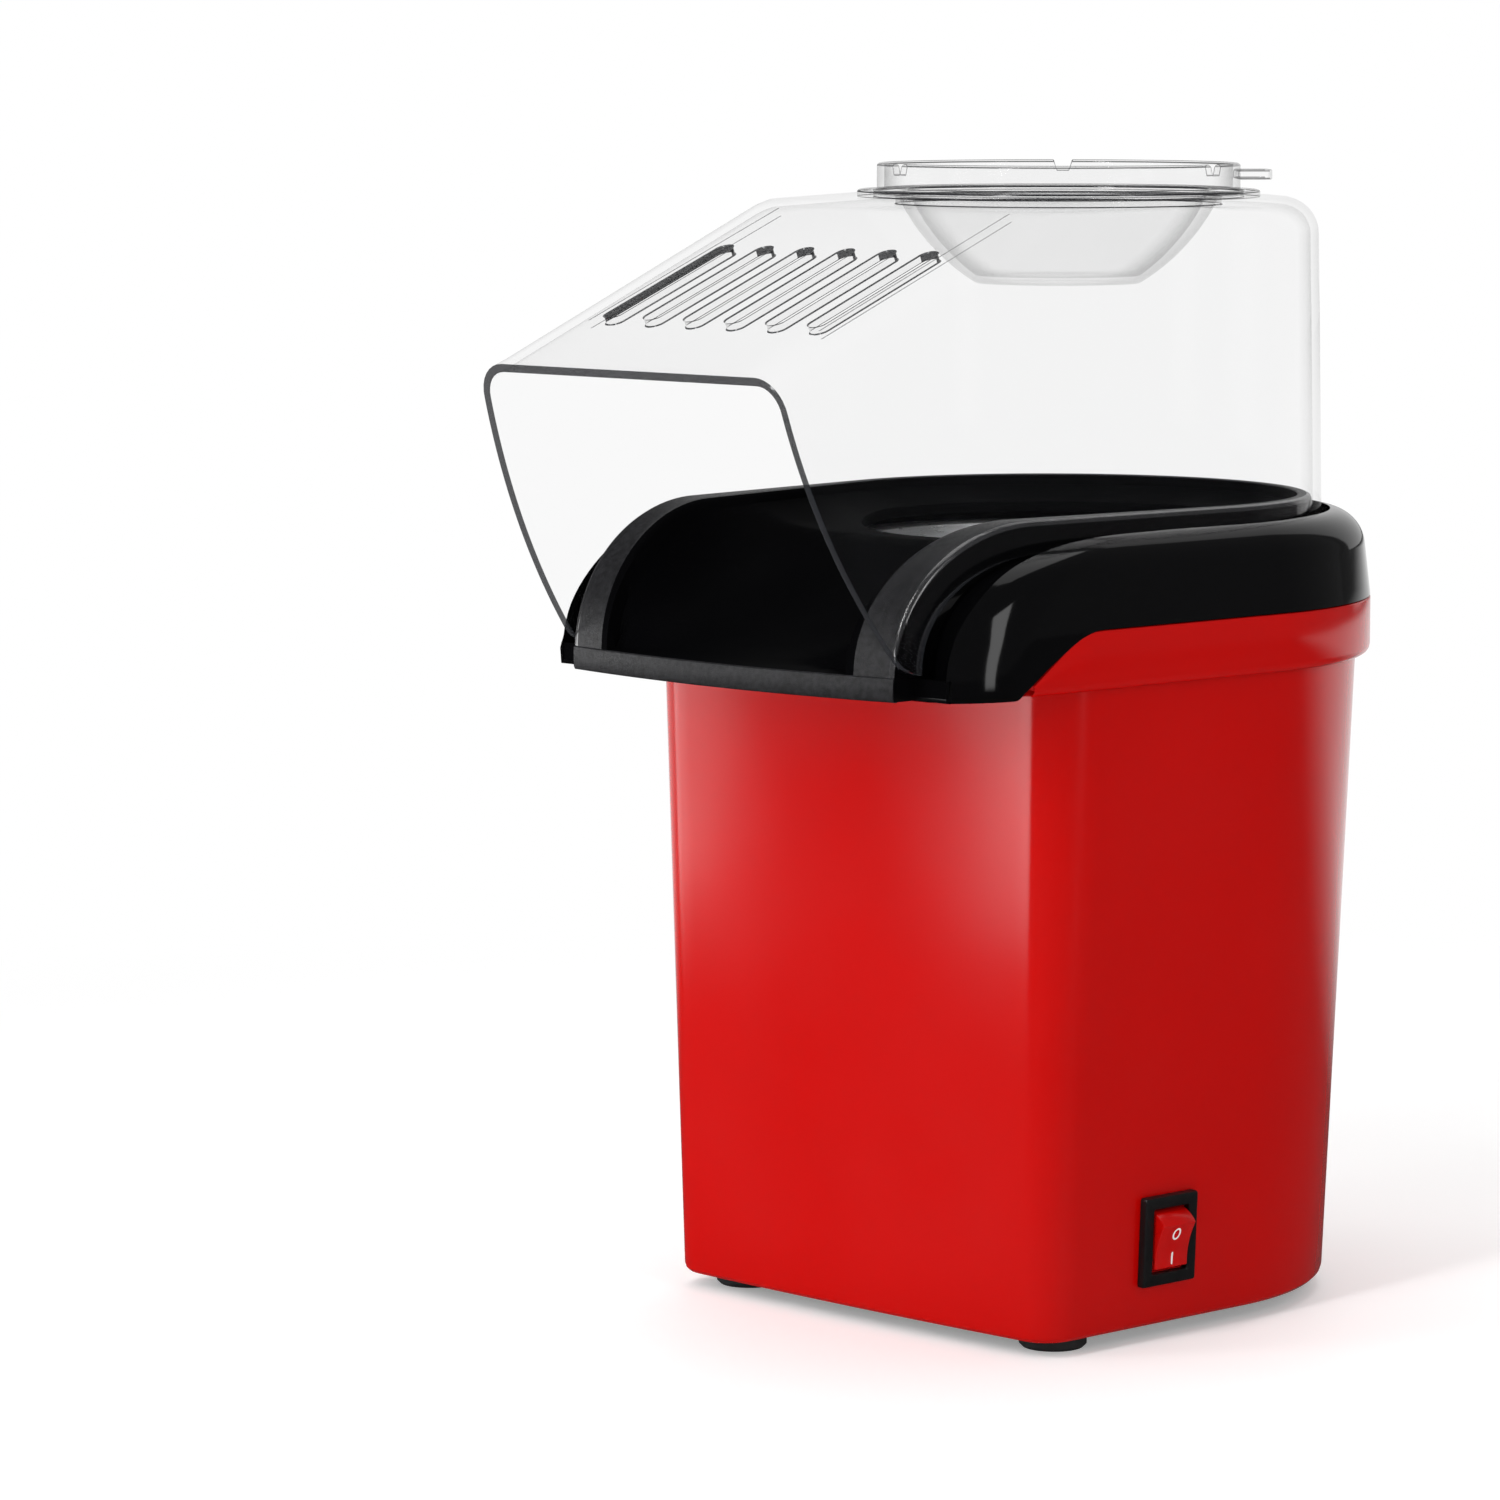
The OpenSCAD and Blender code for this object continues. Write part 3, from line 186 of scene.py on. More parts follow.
class Finishes(PropertyGroup):
    """Colours of the visible pieces."""

    red: colour("Housing red", (0.50, 0.0012, 0.0004), "Moulded red of the housing")
    black: colour("Collar black", (0.0014, 0.0014, 0.0017), "Gloss black of the collar")
    rail: colour("Rail grey", (0.012, 0.012, 0.0135), "Textured top of the rails")
    # Edge grey is lighter than the collar black: painted highlight lines along the rails' and the
    # shoulder's edges, on top of their real higher gloss
    edge: colour("Edge grey", (0.02, 0.02, 0.022), "Polished edges of the rails and the shoulder")
    clear: colour("Clear tint", (0.06, 0.062, 0.066), "Tint of the clear plastic")
    # A dark tint that paints shade: it stands in for the dark refraction along the clear plastic's
    # cut edges, slot walls, crease and outlines
    clear_edge: colour("Clear edge", (0.02, 0.021, 0.024), "Tint of the clear plastic's cut edges")
    bezel: colour("Bezel black", (0.006, 0.006, 0.0065), "Moulded black of the switch")
    rocker: colour("Rocker red", (0.50, 0.0015, 0.0008), "Red of the rocker")
    mark: colour("Mark white", (0.88, 0.86, 0.84), "Printed marks of the switch")
    floor: colour("Floor", (0.93, 0.93, 0.93), "Floor and backdrop")


GROUPS = {
    "popper_housing": HousingSizes,
    "popper_collar": CollarSizes,
    "popper_hood": HoodSizes,
    "popper_cup": CupSizes,
    "popper_switch": SwitchSizes,
    "popper_finish": Finishes,
}


def sizes():
    """All sizes of the property groups in one place, with the levels that follow from them."""
    found = {}
    for group, kind in GROUPS.items():
        values = getattr(bpy.context.scene, group)
        for key in kind.__annotations__:
            value = getattr(values, key)
            found[key] = tuple(value) if hasattr(value, "__len__") else value
    s = SimpleNamespace(**found)
    # Levels, from the housing's wall up to the hood's flat top
    s.body_z1 = s.foot_h + s.body_h
    s.rim_z1 = s.body_z1 + s.rim_h
    s.lip_z0 = s.body_z1 - 0.0005
    s.lip_z1 = s.lip_z0 + s.lip_h
    s.shoulder_z = s.lip_z1 + s.shoulder_h
    s.rail_z = s.shoulder_z + s.rail_rise
    s.rail_h = s.rail_z - s.lip_z1
    s.edge_h = s.rail_h - 0.0025  # the trough's edge, below the rails' tops
    s.groove_z = s.shoulder_z - s.groove_deep
    s.funnel_z = s.rail_z - s.funnel_drop
    s.hood_lift = 0.0003  # the hood's edge over the groove's floor
    s.hood_z0 = s.groove_z + s.hood_lift
    s.hood_z1 = s.shoulder_z + s.hood_h
    # The fall of the collar to the lip, whose arc is lip_bow deep at the rails
    s.lip_bow = 0.0065
    s.arc_reach = s.lip_reach - s.rail_crest - s.lip_bow
    s.fall_start = s.rail_crest + s.lip_bow
    s.trough_start = 0.0555
    # Plan radii and leans of the groove and the rails, which clear the hood by hood_gap
    s.hood_gap = 0.0005
    s.rail_out_r = s.hood_r - s.hood_wall - s.hood_gap
    s.rail_in_r = s.rail_out_r - s.rail_w
    s.groove_out_r = s.rail_out_r + s.groove_w
    at = s.lip_reach - s.lip_bow
    s.rail_front = side_half(s.hood_r, s.spout_lean, at) - s.hood_wall - s.hood_gap
    s.rail_in_lean = lean_to(s.rail_in_r, s.rail_front - s.rail_front_w, at)
    s.groove_out_lean = lean_to(s.groove_out_r, s.rail_front + s.channel_w, at)
    # The seam's slope
    s.seam_y0 = s.rail_crest + 0.0022
    s.seam_run = (s.rim_z1 - s.lip_z0) / tan(s.seam_angle)
    # The hood's lower tips, the bend over its slope, the slope's grade and its creases
    s.tip_flat = 0.0045
    s.bend = 0.004
    s.spout_end = s.mouth_reach + 0.003
    s.grade = s.mouth_drop / (s.mouth_reach - s.slope_reach)
    s.slope_angle = atan(s.grade)
    s.crease_x = 0.0371
    return s


# ---- Curves in plan and in side view ----


def circle(r, a):
    """Plan points of a circle of radius r, at the angles a."""
    return np.stack([r * np.cos(a), r * np.sin(a)], -1)


def sag(r, x):
    """Depth by which an arc of radius r has fallen back from its middle at x."""
    return r - np.sqrt(r * r - x * x)


def side_half(r, lean, reach):
    """Half width, at a reach, of a side line that leaves a circle of radius r and leans in."""
    return (r - reach * sin(lean)) / cos(lean)


def lean_to(r, width, reach):
    """Lean of the side line of circle r that is width wide at a reach."""
    return 2 * np.arctan((reach - np.sqrt(reach * reach + width * width - r * r)) / (width + r))


def u_outline(r, lean, front, corner, bow, n):
    """Right half of a U-shaped outline, from the front's middle round the corner and along the
    side to the back's middle: an arc of radius bow, a corner arc, a straight side tangent to the
    circle r, and a quarter of that circle. n gives the number of steps of each."""
    yc = bow - front
    q = r - corner + yc * sin(lean)
    run = sqrt((bow - corner) ** 2 - q * q) - yc * cos(lean)
    cx = (r - corner) * cos(lean) - run * sin(lean)
    cy = -(r - corner) * sin(lean) - run * cos(lean)
    turn = np.arctan2(cy - yc, cx)
    a = np.linspace(-pi / 2, turn, n[0], endpoint=False)
    front_arc = circle(bow, a) + [0, yc]
    a = np.linspace(turn, -lean, n[1], endpoint=False)
    corner_arc = circle(corner, a) + [cx, cy]
    start, end = circle(corner, -lean) + [cx, cy], circle(r, -lean)
    side = start + (end - start) * np.linspace(0, 1, n[2], endpoint=False)[:, None]
    rear = circle(r, np.linspace(-lean, pi / 2, n[3] + 1))
    return np.concatenate([front_arc, corner_arc, side, rear])


def mirrored(half):
    """Closed outline from its right half: the half, then its mirror image back to the front."""
    return np.concatenate([half, half[-2:0:-1] * [-1, 1]])


def at_height(plan, z):
    """Plan points set at a height, which is one number or one for each point."""
    return np.column_stack([plan, np.broadcast_to(z, len(plan))])


def u_line(r, lean, reach, rear, sag_r):
    """Open U-shaped line: the right side line at the given bowed reaches, the rear arc at the
    given shares of its turn, and the left side line. A bowed reach is measured forward from a front
    arc of radius sag_r, and the last 60 mm are eased on to the line's own tangent point."""
    end = r * sin(lean)
    half = side_half(r, lean, reach)
    ease = np.clip((reach - reach[-1]) / 0.06, 0, 1)
    y = (reach - sag(sag_r, half)) * ease + (reach - reach[-1] + end) * (1 - ease)
    right = np.stack([side_half(r, lean, y), -y], 1)
    arc = circle(r, -lean + rear * (pi + 2 * lean))
    return np.concatenate([right, arc, right[::-1] * [-1, 1]])


def quarter_fall(reach, start, run, height):
    """Height left of a quarter ellipse over a reach: full up to start, none at start + run."""
    t = np.clip((reach - start) / run, 0, 1)
    return height * np.sqrt(1 - t * t)


def bowed_reach(plan, bow_r):
    """Reach of plan points, measured from a front arc of radius bow_r."""
    x = np.clip(np.abs(plan[:, 0]), 0, 0.9 * bow_r)
    return sag(bow_r, x) - plan[:, 1]


def arc_between(p, q, r, steps):
    """Points of an arc of radius r from p to q that bulges to the right of the way."""
    p, q = np.array(p, float), np.array(q, float)
    m, d = (p + q) / 2, np.linalg.norm(q - p) / 2
    n = np.array([q[1] - p[1], p[0] - q[0]]) / (2 * d)
    c = m - n * sqrt(r * r - d * d)
    half, mid = np.arcsin(d / r), np.arctan2(n[1], n[0])
    return c + circle(r, np.linspace(mid - half, mid + half, steps + 1))


def seam_height(y, s):
    """Height of the seam between the rim and the collar over the depth y: level at the back, then
    round a soft knee and down a slope to the lip."""
    reach = s.seam_y0 + np.array([-0.007, -0.0035, -0.0005, 0.0020, 0.0045, s.seam_run])
    drop = np.array([0, 0.00015, 0.0010, 0.0022, 0.0040, s.rim_z1 - s.lip_z0])
    return np.interp(-y, reach, s.rim_z1 - drop)


# ---- Meshes ----


class Sheets:
    """Collects grids and loose polygons, in metres about the chamber's axis, for one mesh."""

    def __init__(self):
        self.points, self.faces, self.slots, self.count = [], [], [], 0

    def grid(self, rows, closed=False, loop=False, slot=0, flip=False):
        """Grid of rows of points; closed joins each row's ends, loop the last row to the first."""
        rows = np.asarray(rows, float)
        m, n = rows.shape[:2]
        j = np.arange(m if loop else m - 1)[:, None]
        i = np.arange(n if closed else n - 1)[None, :]
        k, h = (j + 1) % m, (i + 1) % n
        quads = np.stack([j * n + i, j * n + h, k * n + h, k * n + i], -1).reshape(-1, 4)
        if flip:
            quads = quads[:, ::-1]
        self.add(rows.reshape(-1, 3), quads.tolist(), slot)

    def add(self, points, faces, slot=0):
        """Points with their faces."""
        self.points.append(np.asarray(points, float))
        self.faces += [[k + self.count for k in face] for face in faces]
        self.slots += [slot] * len(faces)
        self.count += len(points)

    def mesh(self, name, weld=2e-6):
        """The mesh, moved to the frame, with its doubles merged and its faces turned outwards."""
        co = np.concatenate(self.points) + [0, AXIS_Y, 0]
        data = bpy.data.meshes.new(name)
        data.from_pydata(co.tolist(), [], self.faces)
        data.polygons.foreach_set("material_index", self.slots)
        bm = bmesh.new()
        bm.from_mesh(data)
        bmesh.ops.remove_doubles(bm, verts=bm.verts, dist=weld)
        bmesh.ops.dissolve_degenerate(bm, edges=bm.edges, dist=weld)
        bmesh.ops.recalc_face_normals(bm, faces=bm.faces)
        bm.to_mesh(data)
        bm.free()
        data.update()
        return data


def upward(data):
    """Turns a whole sheet over where its faces, taken together, look down."""
    normals = np.zeros(len(data.polygons) * 3, np.float32)
    areas = np.zeros(len(data.polygons), np.float32)
    data.polygons.foreach_get("normal", normals)
    data.polygons.foreach_get("area", areas)
    if (normals.reshape(-1, 3)[:, 2] * areas).sum() < 0:
        data.flip_normals()


def modify(obj, kind, name, **values):
    """Adds a modifier with its values."""
    mod = obj.modifiers.new(name, kind)
    for key, value in values.items():
        setattr(mod, key, value)
    return mod


def baked(obj):
    """Puts the mesh that an object's modifiers make in the place of its own."""
    graph = bpy.context.evaluated_depsgraph_get()
    data = bpy.data.meshes.new_from_object(
        obj.evaluated_get(graph), preserve_all_data_layers=True, depsgraph=graph)
    obj.modifiers.clear()
    obj.data = data


def piece(name, data, body, materials, replaces, sharp=35, bevel=0.0, wall=0.0, wall_slot=0,
          line=0.0, recolour=None):
    """Makes the object of a mesh: it gets its materials, a wall inwards, thin chamfers in the
    second material along its edges, smooth shading between its sharp edges and softened edges,
    also in the second material, rides on its body and stands for the nodes it replaces. On the
    clear pieces the chamfers are painted shade, dark lines for the refraction at their edges; on
    the collar's shoulder the softened edges are painted highlight, light lines along its edges."""
    obj = bpy.data.objects.new(name, data)
    bpy.context.scene.collection.objects.link(obj)
    for finish in materials:
        data.materials.append(finish)
    if wall:
        modify(obj, "SOLIDIFY", "Wall", thickness=wall, offset=-1, material_offset_rim=wall_slot)
        baked(obj)
    if recolour:
        recolour(obj.data)
    # Chamfers and softened edges take the second material: dark lines of painted shade on the clear
    # pieces, light lines of painted highlight on the collar's shoulder
    edges = {"limit_method": "ANGLE", "angle_limit": radians(sharp), "material": 1}
    if line:
        modify(obj, "BEVEL", "Outlines", width=line, segments=1, use_clamp_overlap=False, **edges)
        baked(obj)
    obj.data.shade_smooth()
    obj.data.set_sharp_from_angle(angle=radians(sharp))
    if bevel:
        modify(obj, "BEVEL", "Soft edges", width=bevel, segments=2, use_clamp_overlap=True, **edges)
    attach(obj, body)
    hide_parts(*replaces)


# ---- Materials ----


# Stretch of a finish's noise along each axis
PLAIN, BRUSHED = (1, 1, 1), (1, 1, 14)


def material(name, base, roughness, metallic=0.0, **sockets):
    """A principled material with plain socket values."""
    mat = bpy.data.materials.new(name)
    mat.use_nodes = True
    shader = mat.node_tree.nodes["Principled BSDF"]
    shader.inputs["Base Color"].default_value = (*base, 1)
    shader.inputs["Roughness"].default_value = roughness
    shader.inputs["Metallic"].default_value = metallic
    for key, value in sockets.items():
        shader.inputs[key.replace("_", " ")].default_value = value
    return mat


def node(mat, kind, **values):
    """A node of a material, with its settings and its inputs' values."""
    new = mat.node_tree.nodes.new(kind)
    for key, value in values.items():
        if hasattr(new, key):
            setattr(new, key, value)
        else:
            new.inputs[key.replace("_", " ")].default_value = value
    return new


def link(mat, a, b):
    """Joins an output socket to an input socket."""
    mat.node_tree.links.new(a, b)


def noise(mat, scale, detail, stretch=PLAIN):
    """Noise on object coordinates, stretched along an axis where asked."""
    coords = node(mat, "ShaderNodeTexCoord")
    mapping = node(mat, "ShaderNodeMapping")
    mapping.inputs["Scale"].default_value = stretch
    texture = node(mat, "ShaderNodeTexNoise", Scale=scale, Detail=detail)
    link(mat, coords.outputs["Object"], mapping.inputs["Vector"])
    link(mat, mapping.outputs["Vector"], texture.inputs["Vector"])
    return texture.outputs["Fac"]


def spread(mat, value, low, high, clear=0.35, full=0.65):
    """Maps a noise value between two levels of a number."""
    ramp = node(mat, "ShaderNodeMapRange")
    for key, number in {"From Min": clear, "From Max": full, "To Min": low, "To Max": high}.items():
        ramp.inputs[key].default_value = number
    link(mat, value, ramp.inputs["Value"])
    return ramp.outputs["Result"]


def tinted(mat, share, low, high):
    """Base colour between two colours, by a share. A colour mix keeps its two colours on its
    seventh and eighth inputs and gives its result on its third output."""
    mix = node(mat, "ShaderNodeMix", data_type="RGBA")
    mix.inputs[6].default_value = (*low, 1)
    mix.inputs[7].default_value = (*high, 1)
    link(mat, share, mix.inputs[0])
    shader = mat.node_tree.nodes["Principled BSDF"]
    link(mat, mix.outputs[2], shader.inputs["Base Color"])


def bumped(mat, height, strength, distance):
    """Bump of a strength and a distance from a height."""
    bumps = node(mat, "ShaderNodeBump", Strength=strength, Distance=distance)
    link(mat, height, bumps.inputs["Height"])
    link(mat, bumps.outputs["Normal"], mat.node_tree.nodes["Principled BSDF"].inputs["Normal"])


def blended(mat, share, first, second):
    """Output of a mix of two shaders, by a share."""
    mix = node(mat, "ShaderNodeMixShader")
    for socket, output in zip(mix.inputs, (share, first, second)):
        link(mat, output, socket)
    return mix.outputs[0]


def worn(name, base, scale, colour_by, rough, bump, grain=900.0, stretch=PLAIN, **sockets):
    """A moulded or machined finish with its small differences: a slow change of colour, patches of
    roughness between two levels, and a fine grain as bump."""
    mat = material(name, base, rough[0], **sockets)
    shader = mat.node_tree.nodes["Principled BSDF"]
    low, high = ([min(1, c * k) for c in base] for k in (1 - colour_by, 1 + colour_by))
    tinted(mat, spread(mat, noise(mat, scale, 4.0, stretch), 0, 1), low, high)
    patches = noise(mat, scale * 2.3, 5.0, stretch)
    link(mat, spread(mat, patches, *rough), shader.inputs["Roughness"])
    if bump:
        bumped(mat, noise(mat, grain, 2.0, stretch), bump, 0.0002)
    return mat


def clear_plastic(name, tint, low, high, turned=0.3, roughness=0.03):
    """Clear moulding: nearly open where it is seen square on, and denser and greyer along its
    outline, from where it has turned away, with a faint flow in its surface. The greying along
    the outline is painted shade for the dark refraction at the plastic's edges."""
    mat = material(name, tint, roughness, IOR=1.5)
    facing = node(mat, "ShaderNodeLayerWeight", Blend=0.35).outputs["Facing"]
    shader = mat.node_tree.nodes["Principled BSDF"]
    link(mat, spread(mat, facing, low, high, turned, 1.0), shader.inputs["Alpha"])
    # Darker colour toward the outline: painted shade for the dark refraction there
    tinted(mat, spread(mat, facing, 0, 1, 0.55, 1.0), tint, [c * 0.7 for c in tint])
    bumped(mat, noise(mat, 30.0, 2.0), 0.03, 0.001)
    return mat


# ---- Housing ----


class POPPER_OT_housing(Operator):
    """Builds the drafted red housing with its proud rim band"""

    bl_idname = "popper.housing"
    bl_label = "Housing"

    def execute(self, context):
        s = sizes()
        steps = (20, 14, 56, 44)

        def body(z, inset):
            """Outline of the drafted wall at a height."""
            share = (z - s.foot_h) / s.body_h
            half = s.base_half + (s.top_half - s.base_half) * share
            front = s.base_front + (s.top_front - s.base_front) * share
            corner = s.corner_r + (s.corner_top_r - s.corner_r) * share
            plan = u_outline(
                half - inset, s.plan_lean, front - inset, corner - inset, s.front_bow_r, steps)
            return at_height(mirrored(plan), z)

        def rim(inset):
            """Outline of the rim band."""
            return mirrored(u_outline(
                s.rim_r - inset, s.plan_lean, s.lip_reach - inset, s.lip_corner_r - inset,
                s.lip_bow_r, steps))

        top = seam_height(rim(0)[:, 1], s)
        floor = s.body_z1
        # Where the band has run out at the front, its rows close on to the shelf's edge
        band_fade, shelf_back = 0.002, 0.0145
        band = np.clip((top - floor) / band_fade, 0, 1)[:, None]
        edge = mirrored(u_outline(
            s.rim_r - s.wall - s.seam, s.plan_lean, s.lip_reach - shelf_back,
            s.lip_corner_r - s.wall, s.lip_bow_r, steps))

        def band_row(inset, z):
            """Row of the rim band, between the shelf and the seam."""
            level = np.clip(z, floor, np.maximum(top, floor))
            return at_height(rim(inset) * band + edge * (1 - band), level)

        rows = [body(s.foot_h, s.wall)]
        for a in np.radians([0, 30, 60, 90]):
            z = s.foot_h + s.bottom_round * (1 - cos(a))
            rows.append(body(z, s.bottom_round * (1 - sin(a))))
        rows += [body(z, 0) for z in np.linspace(s.foot_h + 0.012, floor, 8)]
        for a in np.radians([0, 22.5, 45, 67.5, 90]):
            rows.append(band_row(s.rim_fillet * (1 - sin(a)), floor + s.rim_fillet * (1 - cos(a))))
        crown = 0.0005
        for a in np.radians([0, 45, 90]):
            rows.append(band_row(crown * (1 - cos(a)), top - crown * (1 - sin(a))))
        rows.append(band_row(s.wall, top))
        rows.append(at_height(rim(s.wall) * band + edge * (1 - band), floor + s.wall))
        rows.append(at_height(body(floor, s.wall)[:, :2], floor + s.wall))
        sheets = Sheets()
        sheets.grid(rows, closed=True, loop=True)
        red = worn("red_gloss", s.red, 9.0, 0.04, (0.15, 0.20), 0.008, 420.0,
                   Specular_IOR_Level=0.32)
        piece("housing_shell", sheets.mesh("housing_shell"), "base_unit", [red],
              ["housing"], sharp=28)
        return {"FINISHED"}


# ---- Collar ----


def collar_inset(z, s):
    """Inset of the collar's wall at height z: its taper, and a quarter circle at its edge."""
    taper = s.shoulder_taper * np.maximum(0, z - s.rim_z1) / (s.shoulder_z - s.rim_z1)
    d = np.maximum(0, z - (s.shoulder_z - s.shoulder_round))
    r = s.shoulder_round
    return taper + r - np.sqrt(np.maximum(0, r * r - d * d))


def groove_floor(y, s):
    """Height of the groove's floor over the depth y: a quarter ellipse under the shoulder's."""
    d = s.groove_deep
    run = s.arc_reach - d - s.tip_flat
    floor = s.lip_z1 + quarter_fall(-y, s.rail_crest, run, s.shoulder_h - d)
    return np.where(-y > s.rail_crest + run, s.lip_z0, floor)


def channel_side(y, s):
    """Half width of the groove's outer wall over the depth y."""
    side = side_half(s.groove_out_r, s.groove_out_lean, -y)
    round_back = np.sqrt(np.maximum(0, s.groove_out_r ** 2 - y * y))
    return np.where(-y > s.groove_out_r * sin(s.groove_out_lean), side, round_back)


def evenly(path, count):
    """Points spread evenly over the length of a path in plan."""
    run = np.concatenate([[0], np.cumsum(np.linalg.norm(np.diff(path, axis=0), axis=1))])
    even = np.linspace(0, run[-1], count)
    return np.stack([np.interp(even, run, path[:, k]) for k in (0, 1)], 1)


def shoulder_rows(s, count=170):
    """Rows of the collar's outer skin from its lower edge to the groove. Each row is the wall's
    outline at one height, cut where it meets the channel at the front."""
    # The lower edge's small rounding and the front band, then heights up the shoulder's fall
    falls = np.radians(np.concatenate([np.arange(88, 43, -4), np.linspace(43, 9.5, 18)]))
    levels = [s.lip_z0, s.lip_z0 + 0.0002, s.lip_z0 + 0.0006, s.lip_z0 + 0.003, s.lip_z1]
    insets = [0.0006, 0.0002, 0, 0, 0]
    fronts = [s.lip_reach] * 5
    for a in falls:
        z = s.lip_z1 + s.shoulder_h * cos(a)
        levels.append(z)
        insets.append(float(collar_inset(z, s)))
        fronts.append(s.fall_start + s.arc_reach * sin(a))
    rows = []
    for z, inset, front in zip(levels, insets, fronts):
        rise = max(0, z - s.lip_z1) / s.shoulder_h
        corner = s.lip_corner_r + (s.crest_corner_r - s.lip_corner_r) * rise
        half = u_outline(
            s.rim_r - inset, s.plan_lean, front, corner, s.lip_bow_r, (60, 60, 120, 120))
        # Where the outline comes out of the channel, at the latest 30 mm in front of the axis
        beyond = half[:, 0] - channel_side(half[:, 1], s)
        first = int(np.argmax((beyond > 0) | (half[:, 1] > -0.03)))
        a, b = half[first - 1], half[first]
        t = np.clip(beyond[first - 1] / (beyond[first - 1] - beyond[first]), 0, 1)
        path = np.concatenate([[a + (b - a) * t], half[first:]])
        rows.append(at_height(evenly(path, count), z))
    rows = from_seam(np.array(rows), levels, s)
    return np.concatenate([rows, crest_rows(rows[-1], insets[-1] - s.shoulder_taper, s)])


def from_seam(rows, levels, s):
    """Rows whose columns start at the seam with the rim: each column is cut off there and its
    points are spread again over what is left of it."""
    last = len(levels) - 1
    seam = seam_height(rows[0, :, 1], s) + s.seam
    start = np.interp(seam, levels, np.arange(last + 1))
    at = start + (last - start) * np.linspace(0, 1, last + 1)[:, None]
    low = np.clip(at.astype(int), 0, last - 1)
    part = (at - low)[..., None]
    column = np.arange(rows.shape[1])[None, :]
    return rows[low, column] * (1 - part) + rows[low + 1, column] * part


def crest_rows(top, inset, s):
    """Rows of the rest of the shoulder's rounding, a quarter circle that has come in by inset where
    it starts at the outline top, on to the groove's edge."""
    turn = np.arctan2(top[:, 1], top[:, 0])
    groove = np.where(
        top[:, 1:2] > 0, circle(s.groove_out_r, turn),
        np.stack([channel_side(top[:, 1], s), top[:, 1]], 1))
    gap = np.linalg.norm(top[:, :2] - groove, axis=1)
    r = s.shoulder_round
    crest = []
    for t in (0.33, 0.66, 1):
        left = np.maximum(0, r - inset - gap * t)
        height = s.shoulder_z - r + np.sqrt(r * r - left * left)
        plan = top[:, :2] + (groove - top[:, :2]) * t
        crest.append(at_height(plan, np.maximum(height, top[:, 2])))
    return crest


